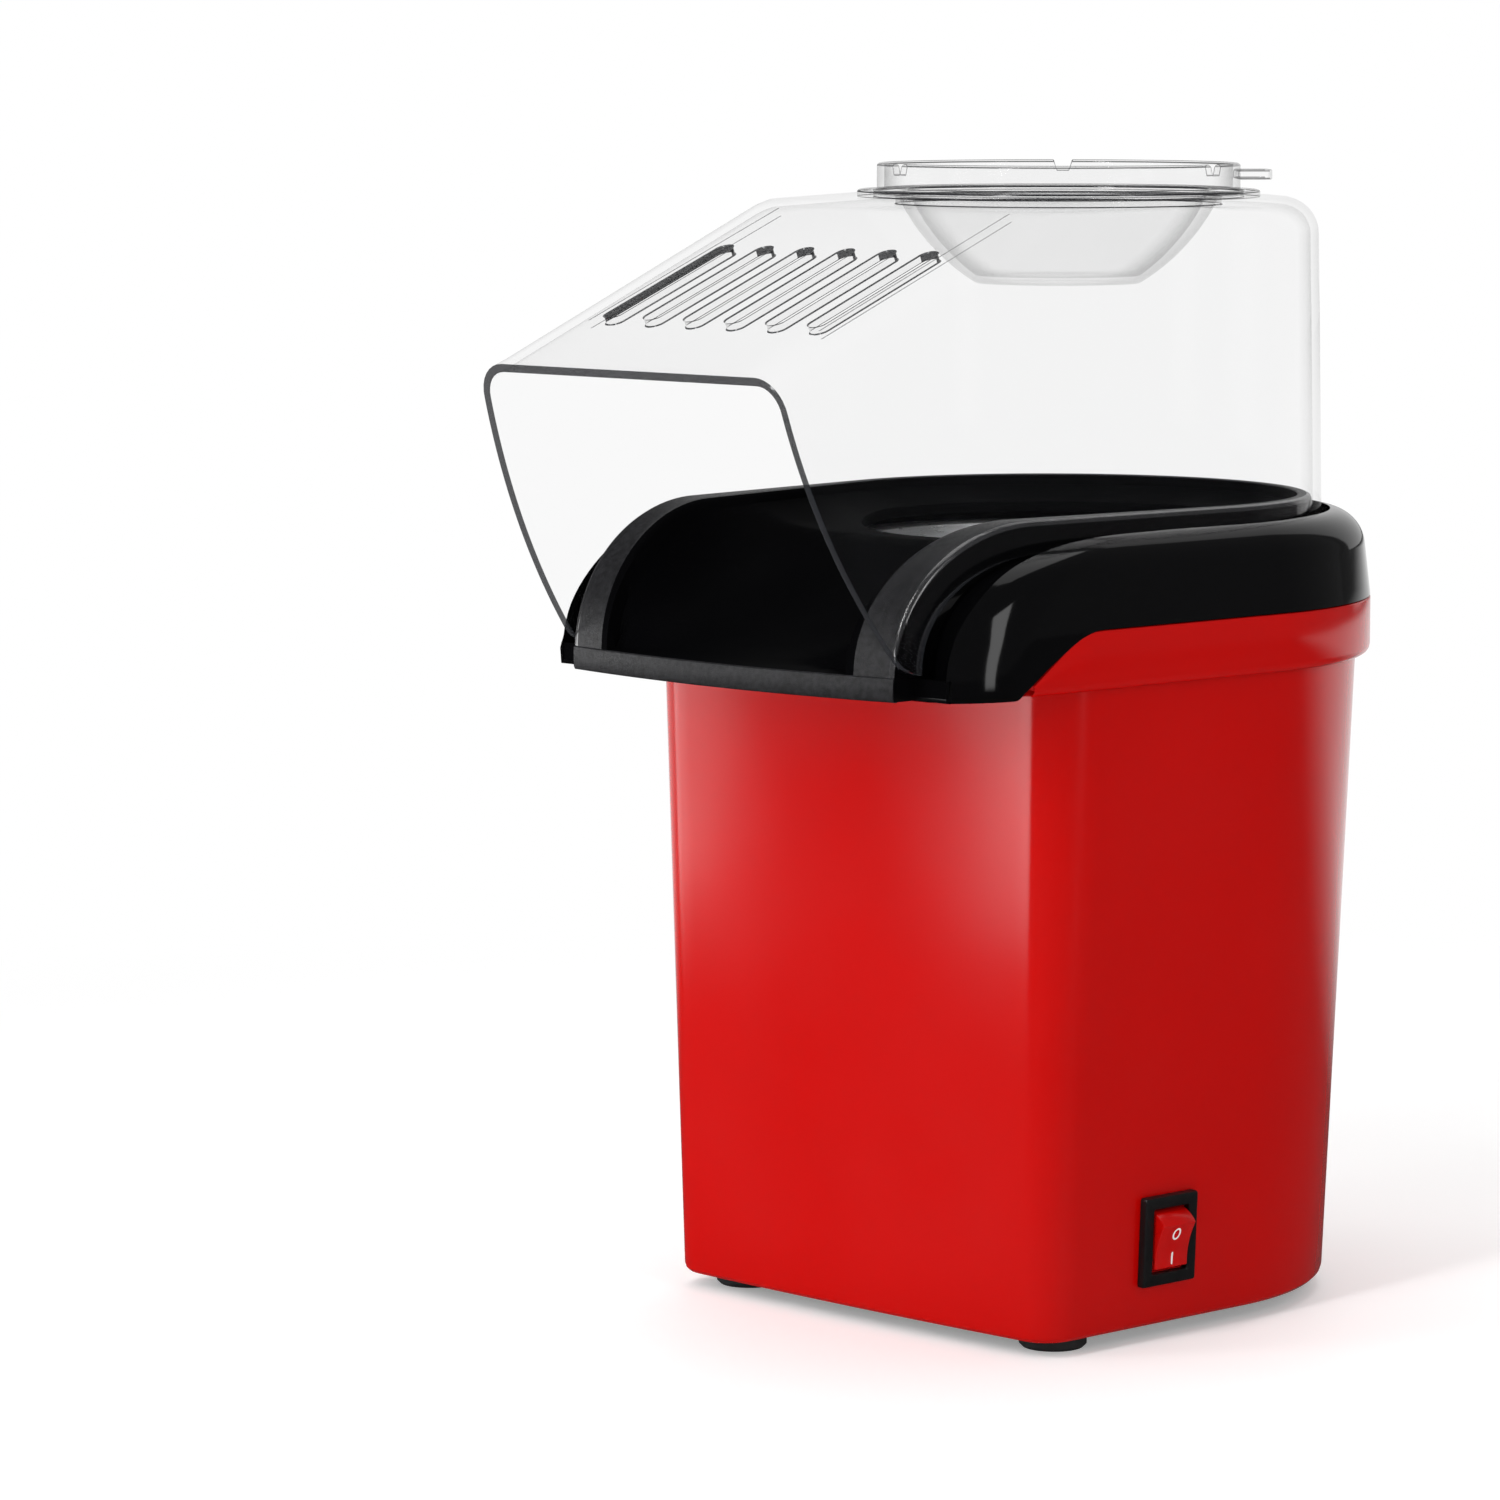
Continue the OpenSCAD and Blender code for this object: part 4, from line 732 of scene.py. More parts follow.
class POPPER_OT_collar(Operator):
    """Builds the black collar: shoulder with the hood's groove, rails, trough and pouring lip"""

    bl_idname = "popper.collar"
    bl_label = "Collar"

    def execute(self, context):
        s = sizes()
        black = worn("collar_black", s.black, 14.0, 0.12, (0.06, 0.10), 0.006, 500.0,
                     Specular_IOR_Level=0.2)
        rail = worn("rail_texture", s.rail, 700.0, 0.4, (0.34, 0.5), 0.35, 3600.0,
                    Specular_IOR_Level=0.2)
        trough = worn("trough_satin", s.black, 14.0, 0.12, (0.45, 0.6), 0.006, 500.0,
                      Specular_IOR_Level=0.004)
        # The lighter edge grey paints highlight lines on the shoulder's softened edges and the
        # rails' outer rounding
        edge = worn("collar_edge", s.edge, 300.0, 0.2, (0.15, 0.25), 0.004, 900.0,
                    Specular_IOR_Level=0.9)
        self.shoulder(s, [black, edge])
        self.rails(s, [black, rail, trough, edge])
        return {"FINISHED"}

    def shoulder(self, s, materials):
        """Outer skin, the groove's outer wall and floor: two grids on each side of the middle."""
        rows = shoulder_rows(s)
        # The channel's edge: up the front curve, then back along the groove
        path = np.concatenate([rows[:, 0], rows[-1, 1:]])
        edge = path[:, :2]
        low = np.minimum(np.maximum(groove_floor(edge[:, 1], s), s.lip_z0 + 0.0012), path[:, 2])
        wall = [at_height(edge, path[:, 2] + (low - path[:, 2]) * t) for t in (0, 0.5, 1)]
        # The floor runs on a little way under the rail's outer wall
        turn, under = np.arctan2(edge[:, 1], edge[:, 0]), 0.0006
        side = side_half(s.rail_out_r, s.spout_lean, -edge[:, 1]) - under
        inner = np.where(
            (turn > -s.spout_lean)[:, None], circle(s.rail_out_r - under, turn),
            np.stack([side, edge[:, 1]], 1))
        floor = [at_height(edge + (inner - edge) * t, low) for t in (0.5, 1)]
        sheets = Sheets()
        for half in (rows, np.array(wall + floor)):
            other = half * [-1, 1, 1]
            sheets.grid(half)
            sheets.grid(other[::-1])
        data = sheets.mesh("collar_shoulder")
        upward(data)
        piece("collar_shoulder", data, "base_unit", materials, ["collar"], sharp=38,
              wall=0.0011, bevel=0.00025)

    def rails(self, s, materials):
        """Rails, trough, hole and front band. The rails' rows follow two U-shaped lines whose
        heights fall as a quarter ellipse. The trough's rays lead from the hole to its edge."""
        falls = np.radians(np.linspace(90, 0, 34))
        reach = np.concatenate([
            s.fall_start + s.arc_reach * np.sin(falls),
            np.linspace(s.fall_start, s.rail_out_r * sin(s.spout_lean), 22)[1:]])
        rear = np.linspace(0, 1, 74)[1:-1]
        lines = {
            inset: u_line(s.rail_out_r - inset, s.spout_lean, reach, rear, s.lip_bow_r)
            for inset in (0, 0.0004, 0.0012)}
        outer, crown = lines[0], lines[0.0012]
        inner = u_line(s.rail_in_r, s.rail_in_lean, reach, rear, s.lip_bow_r)
        top, edge = (
            s.lip_z1 + quarter_fall(bowed_reach(line, s.lip_bow_r), s.fall_start, s.arc_reach, h)
            for line, h in ((outer, s.rail_h), (inner, s.edge_h)))
        low = np.clip(groove_floor(outer[:, 1], s) - 0.001, s.lip_z0 + 0.0002, top - 0.0005)
        rows = [
            at_height(outer, low),
            at_height(outer, np.maximum(low, top - 0.0012)),
            at_height(lines[0.0004], np.maximum(low, top - 0.00035)),
            at_height(crown, top),
        ]
        for t in (0.25, 0.5, 0.7):
            rows.append(at_height(crown + (inner - crown) * t, top))
        for t, d in ((0.82, 0.10), (0.92, 0.42), (1.0, 1.0)):
            rows.append(at_height(crown + (inner - crown) * t, top + (edge - top) * d))
        black, texture, satin, edge_sheen = range(4)
        sheets = Sheets()
        sheets.grid(rows[:2], slot=black)
        # The rails' outer rounding in the lighter edge grey: a painted highlight line
        sheets.grid(rows[1:4], slot=edge_sheen)
        sheets.grid(rows[3:8], slot=texture)
        sheets.grid(rows[7:], slot=satin)

        def lip_arc(half, count):
            """The lip's front arc from side to side."""
            x = np.linspace(-half, half, count)
            return np.stack([x, sag(s.lip_bow_r, x) - s.lip_reach], 1)

        # Trough: rays from the hole's edge to the rails' inner line and the lip
        lip = lip_arc(inner[0, 0], 41)
        lip[0], lip[-1] = inner[-1], inner[0]
        rim = np.concatenate([inner, lip[1:-1]])
        mouth = s.hole_r * rim / np.linalg.norm(rim, axis=1)[:, None]
        rays = []
        for t in np.concatenate([np.linspace(1, 0.8, 9), np.linspace(0.76, 0, 14)]):
            plan = mouth + (rim - mouth) * t
            rays.append(at_height(plan, self.trough_height(plan, s)))
        rays[0][:len(inner), 2] = edge
        rays[0][len(inner):, 2] = s.lip_z1
        sheets.grid(rays, closed=True, slot=satin)
        sheets.grid([rays[-1], at_height(mouth * 0.993, rays[-1][:, 2] - 0.0006),
                     at_height(mouth * 0.99, rays[-1][:, 2] - 0.0025)], closed=True, slot=satin)
        # Front band below the lip, between the channels
        front = lip_arc(outer[0, 0], 81)
        profile = [
            (0, s.lip_z1), (0.0003, s.lip_z1 - 0.0003), (0.0004, s.lip_z1 - 0.0012),
            (0.0004, s.lip_z0 + 0.0008), (0, s.lip_z0 + 0.0001), (-0.001, s.lip_z0)]
        sheets.grid([at_height(front - [0, out], z) for out, z in profile], slot=texture)
        # Closing plates across the channels' open ends, set back from the lip
        far = channel_side(-np.array([s.lip_reach - s.lip_bow]), s)[0]
        for side in (-1, 1):
            x = side * np.linspace(outer[0, 0] - 0.001, far + 0.001, 5)
            plan = np.stack([x, np.full(5, s.lip_bow + s.tip_flat - s.lip_reach)], 1)
            plate = [at_height(plan, z) for z in (s.lip_z0 + 0.0002, s.lip_z1 - 0.0005)]
            sheets.grid(plate, slot=satin, flip=side < 0)
        data = sheets.mesh("collar_rails", weld=2e-5)
        upward(data)
        piece("collar_rails", data, "base_unit", materials, ["collar"],
              sharp=38, wall=0.001)

    def trough_height(self, plan, s):
        """Height over the plan: a middle line that falls from the funnel to the lip as a power of
        the reach, raised toward the rails by a high power of the share of the half width."""
        reach = -plan[:, 1]
        t = np.clip((s.lip_reach - reach) / (s.lip_reach - s.trough_start), 0, 1)
        middle = s.lip_z1 + (s.funnel_z - s.lip_z1) * t ** 1.4
        raised = s.lip_z1 + quarter_fall(reach, s.rail_crest, s.arc_reach, s.edge_h)
        half = np.where(reach > 0, side_half(s.rail_in_r, s.rail_in_lean, reach), s.rail_in_r)
        share = np.where(reach > 0, np.abs(plan[:, 0]), np.linalg.norm(plan, axis=1)) / half
        return middle + (raised - middle) * np.clip(share, 0, 1) ** s.trough_power


# ---- Hood ----


# Material slots of the hood's shell; a wall's rim takes the slot after its surface's own.
# The slots of the cut edges, the slot walls and the crease hold dark tints that paint shade
# for the dark refraction there
SHELL, CUT, TOP, SLOT_WALL, CREASE_SHADE = range(5)


class POPPER_OT_hood(Operator):
    """Builds the clear hood with its slope, slots, bowed mouth and locating ring"""

    bl_idname = "popper.hood"
    bl_label = "Hood"

    def execute(self, context):
        s = sizes()
        clear = clear_plastic("clear_hood", s.clear, 0.028, 0.3, 0.55)
        # The dark edge tint paints shade: nearly opaque on cut edges and outlines, fainter on the
        # slot walls, and as a line at the crease
        edges = clear_plastic("clear_edge", s.clear_edge, 0.92, 0.97, 0.1, 0.1)
        slot_wall = clear_plastic("clear_slot", s.clear_edge, 0.08, 0.3, 0.3, 0.06)
        crease = clear_plastic("clear_crease", s.clear_edge, 0.6, 0.8, 0.3, 0.06)
        sheets = Sheets()
        self.wall(sheets, s)
        data = sheets.mesh("hood_shell", weld=1e-5)
        upward(data)

        def darken(mesh):
            """Gives the slots' upper ends and the first slot's outer wall the dark edge tint:
            painted shade for the dark refraction seen on them.
            """
            n = len(mesh.polygons)
            middle, index = np.zeros(n * 3, np.float32), np.zeros(n, np.int32)
            mesh.polygons.foreach_get("center", middle)
            mesh.polygons.foreach_get("material_index", index)
            x, y, _ = middle.reshape(-1, 3).T
            along = (AXIS_Y - y - s.slope_reach) / cos(s.slope_angle)
            first = -(s.slot_count - 1) / 2 * s.slot_pitch - s.slot_w * 0.3
            upper = along < s.slot_start + s.slot_w * 0.4
            dark = (index == SLOT_WALL) & (along > 0) & (upper | (x < first))
            mesh.polygons.foreach_set("material_index", np.where(dark, CUT, index))

        # The hood's rims and thin outline chamfers in the dark edge tint are painted shade for its
        # dark refraction lines
        piece("hood_shell", data, "hood_body",
              [clear, edges, clear, slot_wall, crease], ["hood"], sharp=30, wall=s.hood_wall,
              wall_slot=CUT - SHELL, line=0.0003, recolour=darken)
        ring = Sheets()
        gap, e = 0.0008, 0.0004
        r0, r1 = s.cup_r + gap, s.cup_r + gap + s.ring_w
        z0, z1 = s.hood_z1 - 0.0002, s.hood_z1 + s.ring_h
        profile = [[r0, z0], [r0, z1 - e], [r0 + e, z1], [r1 - e, z1], [r1, z1 - e], [r1, z0]]
        ring.grid(spun(profile, 128), closed=True, loop=True)
        # The ring's outline chamfers in the dark edge tint are painted shade for its dark
        # refraction lines
        piece("hood_ring", ring.mesh("hood_ring"), "hood_body", [clear, edges],
              ["hood"], line=0.0002)
        return {"FINISHED"}

    def top_z(self, reach, s):
        """Height of the top over the reach: flat, then a straight slope, with a bend between."""
        t = np.clip((reach - s.slope_reach + s.bend) / (2 * s.bend), 0, 1)
        past = np.maximum(0, reach - s.slope_reach - s.bend)
        return s.hood_z1 - s.grade * (s.bend * t * t + past)

    def corner(self, reach, s):
        """Rounding between wall and top over the reach."""
        return np.interp(reach, [0, s.slope_reach, s.spout_end],
                         [s.hood_round, s.slope_round, s.mouth_round])

    def top_half(self, reach, s):
        """Half width of the wall's upper edge over the reach."""
        r = s.hood_r - s.hood_draft
        near = side_half(r, lean_to(r, s.slope_half, s.slope_reach), reach)
        far = np.interp(reach, [s.slope_reach, s.spout_end], [s.slope_half, s.mouth_half])
        return np.where(reach < s.slope_reach, near, far)

    def wall_half(self, reach, z, s):
        """Half width of the wall: straight in height from the foot line to its upper edge."""
        foot = np.interp(reach, [0, 0.15], [s.hood_z0, s.lip_z0 - 0.005])
        head = self.top_z(reach, s) - self.corner(reach, s)
        share = np.clip((z - foot) / (head - foot), 0, 1)
        low = side_half(s.hood_r, s.spout_lean, reach)
        return low + (self.top_half(reach, s) - low) * share

    def rounded_tip(self, patch, mouth, size):
        """Rounds the patch's lower front corner: in the skewed square between the mouth's edge and
        the bottom edge, shares p and q of the way to the corner become p sqrt(1 - q q / 2) and
        q sqrt(1 - p p / 2), which turns the square's two outer sides into a quarter circle."""
        corner = patch[0, 0].copy()
        up = mouth[7] - mouth[0]
        up /= np.linalg.norm(up)
        rise = (patch[..., 1] - corner[1]) / up[1]
        back = up[0] * rise - (patch[..., 0] - corner[0])
        p, q = 1 - np.maximum(rise, 0) / size, 1 - np.maximum(back, 0) / size
        near = (p > 0) & (q > 0)
        p1 = np.where(near, p * np.sqrt(1 - np.clip(q, 0, 1) ** 2 / 2), p)
        q1 = np.where(near, q * np.sqrt(1 - np.clip(p, 0, 1) ** 2 / 2), q)
        rise = np.where(near, size * (1 - p1), rise)
        back = np.where(near, size * (1 - q1), back)
        return np.stack([corner[0] + up[0] * rise - back, corner[1] + up[1] * rise], -1)

    def wall(self, sheets, s):
        """Side walls, back and rounding as one grid that goes once round the hood, and the top."""
        tip = np.array([s.lip_reach - s.lip_bow, s.lip_z1 + s.hood_lift])
        head = [-s.mouth_reach, s.hood_z1 - s.mouth_drop]
        mouth = arc_between(head, tip * [-1, 1], s.mouth_bow_r, 60)[::-1] * [-1, 1]
        share = np.concatenate([np.linspace(0, 0.09, 8), np.linspace(0.09, 1, 25)[1:]])
        side = self.side(s, mouth, tip, share)
        columns = np.concatenate([side.transpose(1, 0, 2), self.back(s, side[:, -1], share)])
        bends = self.rounding(s, columns[:, -1], mouth)
        full = np.concatenate([columns.transpose(1, 0, 2), bends[1:]])
        sheets.grid(np.concatenate([full, full[:, -2::-1] * [-1, 1, 1]], axis=1))
        self.top(sheets, s, full[-1])

    def side(self, s, mouth, tip, share):
        """Side wall as a blended patch: the shares of the mouth's edge and of an upright line, plus
        those of the bottom and the upper edge, less those of the four corners."""
        run = np.linspace(0, 1, len(mouth))
        # The wall's upper edge meets the mouth's side edge below its rounded top corner
        high = s.hood_z1 - s.mouth_drop - s.mouth_round
        stop = float(np.interp(high, mouth[:, 1], run))
        mouth = np.stack([np.interp(share * stop, run, mouth[:, k]) for k in (0, 1)], 1)
        # Bottom edge: flat behind the tip, up a quarter ellipse in even steps of its angle, level
        fall = tip[0] - s.tip_flat - s.rail_crest
        rise = s.shoulder_h - s.groove_deep + s.hood_lift
        flat = np.linspace(s.rail_crest, s.slope_reach, 17)[1:]
        low = np.concatenate([
            tip - np.outer(np.linspace(0, s.tip_flat, 7), [1, 0]),
            [s.rail_crest, tip[1]] + circle(1, np.linspace(0, pi / 2, 19)[1:]) * [fall, rise],
            np.stack([flat, np.full(len(flat), tip[1] + rise)], 1)])
        reach = np.linspace(mouth[-1, 0], s.slope_reach, len(low))
        top = np.stack([reach, self.top_z(reach, s) - self.corner(reach, s)], 1)
        top[0] = mouth[-1]
        upright = low[-1] + (top[-1] - low[-1]) * share[:, None]
        u = np.linspace(0, 1, len(low))[None, :, None]
        v = share[:, None, None]
        ends = (1 - u) * mouth[:, None] + u * upright[:, None]
        sides = (1 - v) * low[None] + v * top[None]
        corners = ((1 - u) * ((1 - v) * low[0] + v * top[0])
                   + u * ((1 - v) * low[-1] + v * top[-1]))
        patch = self.rounded_tip(ends + sides - corners, mouth, s.tip_flat)
        half = self.wall_half(patch[..., 0], patch[..., 1], s)
        return np.stack([half, -patch[..., 0], patch[..., 1]], -1)

    def back(self, s, last, share):
        """Columns of the back: from the side wall's last column each row goes on along its own lean
        to its tangent point, and round the back as a circle."""
        r = s.hood_r - s.hood_draft * share
        lean = lean_to(r, last[:, 0], s.slope_reach)
        head = s.hood_z1 - s.hood_round
        columns = []
        for t in np.linspace(0, 1, 12)[1:]:
            reach = s.slope_reach + (r * np.sin(lean) - s.slope_reach) * t
            half = (r - reach * np.sin(lean)) / np.cos(lean)
            columns.append(np.stack(
                [half, -reach, last[:, 2] + share * (head - last[-1, 2]) * t], 1))
        level = s.hood_z0 + share * (head - s.hood_z0)
        for t in np.linspace(0, 1, 49)[1:]:
            columns.append(at_height(circle(r, -lean + (pi / 2 + lean) * t), level))
        return np.array(columns)

    def rounding(self, s, edge, mouth):
        """Rows of the rounding from the wall to the top: quarter circles straight across the
        slope's sides, which turn to the radius within 10 mm of the axis."""
        reach = np.maximum(0, -edge[:, 1])
        r = self.corner(reach, s)
        turned = np.clip((0.010 - reach) / 0.010, 0, 1)[:, None]
        radial = edge[:, :2] / np.linalg.norm(edge[:, :2], axis=1)[:, None]
        n = np.array([1, 0]) * (1 - turned) + radial * turned
        n /= np.linalg.norm(n, axis=1)[:, None]
        bends = np.array([
            at_height(edge[:, :2] - n * (r * (1 - cos(a)))[:, None], edge[:, 2] + r * sin(a))
            for a in np.radians(np.arange(0, 91, 11.25))])
        # Each row starts on the mouth's plane
        fix = np.interp(bends[:, 0, 2], mouth[:, 1], mouth[:, 0])
        bends[:, 0, 1] = -np.minimum(fix, s.mouth_reach)
        return bends

    def on_slope(self, x, along, s):
        """Points on the slope, at x and a distance down from its upper edge."""
        x, along = np.broadcast_arrays(x, along)
        y, drop = -s.slope_reach - along * cos(s.slope_angle), along * sin(s.slope_angle)
        return np.stack([x, y, s.hood_z1 - drop], -1)

    def slots(self, s):
        """Outlines of the steam slots: straight sides between half circles, down the slope."""
        cap = circle(s.slot_w / 2, np.radians(np.arange(-90, 90.1, 15)))
        straight = [s.slot_len / 2 - s.slot_w / 2, 0]
        loop = np.concatenate([cap + straight, -cap - straight])
        along = s.slot_start + s.slot_len / 2 + loop[:, 0]
        return [
            self.on_slope((k - (s.slot_count - 1) / 2) * s.slot_pitch + loop[:, 1], along, s)
            for k in range(s.slot_count)]

    def top(self, sheets, s, edge):
        """Flat top with the cup's opening, the bend, and the slope with its slots, each filled
        between its outlines; the bend is a short strip of rulings across."""
        reach = -edge[:, 1]
        slope = edge[reach >= s.slope_reach + s.bend - 1e-6]
        flat = edge[reach <= s.slope_reach - s.bend + 1e-6]
        bend = edge[(reach < s.slope_reach + s.bend - 1e-6)
                    & (reach > s.slope_reach - s.bend + 1e-6)]
        sheets.grid(across(np.concatenate([slope[-1:], bend, flat[:1]])))
        # A narrow strip behind the mouth, so that the mouth's edge and the slots' edges differ
        sheets.grid(across(slope[:2]).transpose(1, 0, 2))
        slope = slope[1:]
        outline = np.concatenate([
            slope, across(slope[-1:])[1:-1, 0], slope[::-1] * [-1, 1, 1],
            across(slope[:1])[-2:0:-1, 0]])
        holes = self.slots(s)
        # A thin strip on each side, beside the outer slots, in a dark tint, is a painted dark line
        # of shade for the refraction at the slope's crease
        along = np.array([0.007, s.slot_start, s.slot_start + s.slot_len + 0.002])
        for side in (-1, 1):
            x = side * (s.crease_x + np.array([-0.00025, 0.00025]))
            strip = self.on_slope(x[:, None], along, s)
            sheets.grid(strip, slot=CREASE_SHADE)
            holes.append(np.concatenate([strip[0], strip[1][::-1]]))
        fill(sheets, outline, holes, TOP)
        outline = np.concatenate([
            flat, flat[-2::-1] * [-1, 1, 1], across(flat[:1])[-2:0:-1, 0]])
        a = np.linspace(0, 2 * pi, 129)[:-1]
        fill(sheets, outline, [at_height(circle(s.bowl_r + s.cup_gap, a), s.hood_z1)], TOP)


def across(points, count=9):
    """Rows that lead from points on the right across to their mirror images on the left."""
    share = np.linspace(1, -1, count)[:, None, None]
    return points[None] * np.concatenate([share, np.ones((count, 1, 2))], -1)


def fill(sheets, outline, holes, slot):
    """Fills a nearly flat outline with triangles and leaves its holes open: triangles from the
    plan's constrained triangulation are kept where their middles lie outside every hole."""
    points = np.concatenate([outline, *holes])
    edges, start = [], 0
    for loop in [outline, *holes]:
        n = len(loop)
        edges += [(start + k, start + (k + 1) % n) for k in range(n)]
        start += n
    flat = [Vector(p[:2]) for p in points.tolist()]
    verts, _, faces, origins, _, _ = delaunay_2d_cdt(flat, edges, [], 1, 1e-9)
    height = np.array([points[o[0], 2] if o else np.nan for o in origins])
    co = np.column_stack([np.array([tuple(v) for v in verts]), height])
    faces = np.array(faces)
    middle = co[faces].mean(1)[:, :2]
    keep = np.ones(len(faces), bool)
    for hole in holes:
        a, b = hole[:, :2], np.roll(hole[:, :2], -1, axis=0)
        x, y = middle[:, :1], middle[:, 1:]
        crosses = (a[:, 1] > y) != (b[:, 1] > y)
        rise = np.where(b[:, 1] == a[:, 1], 1, b[:, 1] - a[:, 1])
        at = a[:, 0] + (y - a[:, 1]) * (b[:, 0] - a[:, 0]) / rise
        keep &= (crosses & (x < at)).sum(1) % 2 == 0
    sheets.add(co, faces[keep].tolist(), slot)


def spun(profile, count):
    """Rows of a profile of radius and height turned about the chamber's axis."""
    a = np.linspace(0, 2 * pi, count + 1)[:-1]
    return np.stack([at_height(circle(r, a), z) for r, z in profile])


# ---- Measuring cup ----


class POPPER_OT_cup(Operator):
    """Builds the clear measuring cup with its notches and thumb tab"""

    bl_idname = "popper.cup"
    bl_label = "Measuring cup"

    def execute(self, context):
        s = sizes()
        z = s.hood_z1 + 0.00005
        floor, top = s.hood_z1 - s.cup_deep, s.hood_z1 + s.cup_h
        # Wall, rounding of the rim's edges, depth of the notches, and a pole that is nearly a point
        w, e, notch, pole = s.cup_wall, 0.0005, 0.0026, 0.00001
        low, half = top - notch, s.cup_floor_r * 0.5
        outer = arc_between([s.cup_floor_r, floor], [s.bowl_r, z - 0.001], s.bowl_bow_r, 16)
        inner = arc_between(
            [s.cup_floor_r, floor + w], [s.bowl_r - w, z + w], s.bowl_bow_r, 16)[::-1]
        profile = np.concatenate([
            [[pole, floor], [half, floor]], outer,
            [[s.bowl_r, z], [s.cup_r - e, z], [s.cup_r, z + e], [s.cup_r, low],
             [s.cup_r, top - e], [s.cup_r - e, top], [s.cup_r - w + e, top],
             [s.cup_r - w, top - e], [s.cup_r - w, low], [s.cup_r - w, z + w]],
            inner, [[half, floor + w], [pole, floor + w]]])
        rows = spun(profile, 360)
        # Notches: the rim's upper rows drop between the notch's two sides
        turn = np.degrees(np.arctan2(rows[0, :, 1], rows[0, :, 0])) % 360
        for at in (10, 130, 250):
            inside = np.abs((turn - at + 180) % 360 - 180) < 2.2
            drop = inside[None] & (rows[..., 2] > low)
            rows[..., 2] = np.where(drop, low, rows[..., 2])
        sheets = Sheets()
        sheets.grid(rows, closed=True)
        clear = clear_plastic("clear_cup", s.clear, 0.035, 0.4, 0.4)
        # The cup's outline chamfers in the dark edge tint are painted shade for the dark refraction
        # along its edges
        edges = clear_plastic("cup_edge", s.clear_edge, 0.55, 0.8, 0.1, 0.06)
        piece("cup_bowl", sheets.mesh("cup_bowl", weld=5e-6), "cup_body",
              [clear, edges], ["measuring_cup"], sharp=40, line=0.0002)
        tab = Sheets()
        r0, r1, h = s.cup_r - 0.001, s.cup_r + s.tab_reach, s.tab_w / 2
        # The tab's outline with its two rounded corners, turned to its place on the rim
        a, c = np.radians(np.arange(-90, 91, 15)), 0.003
        tip = circle(c, a) + np.stack([np.full(len(a), r1 - c), (h - c) * np.sign(a)], 1)
        end = np.concatenate([[[r0, -h]], tip, [[r0, h]]])
        ca, sa = cos(pi / 4), sin(pi / 4)
        end = end @ np.array([[ca, sa], [-sa, ca]])
        z0, z1 = top - 0.004, top - 0.0016
        middle = end.mean(0)
        rings = [at_height(middle + (end - middle) * k, z) for k, z in (
            (0.01, z0), (0.95, z0), (1, z0 + 0.0003), (1, z1 - 0.0003), (0.95, z1), (0.01, z1))]
        tab.grid(rings, closed=True)
        piece("cup_tab", tab.mesh("cup_tab"), "cup_body", [clear, edges],
              ["measuring_cup"], sharp=40, line=0.0002)
        return {"FINISHED"}


# ---- Switch ----


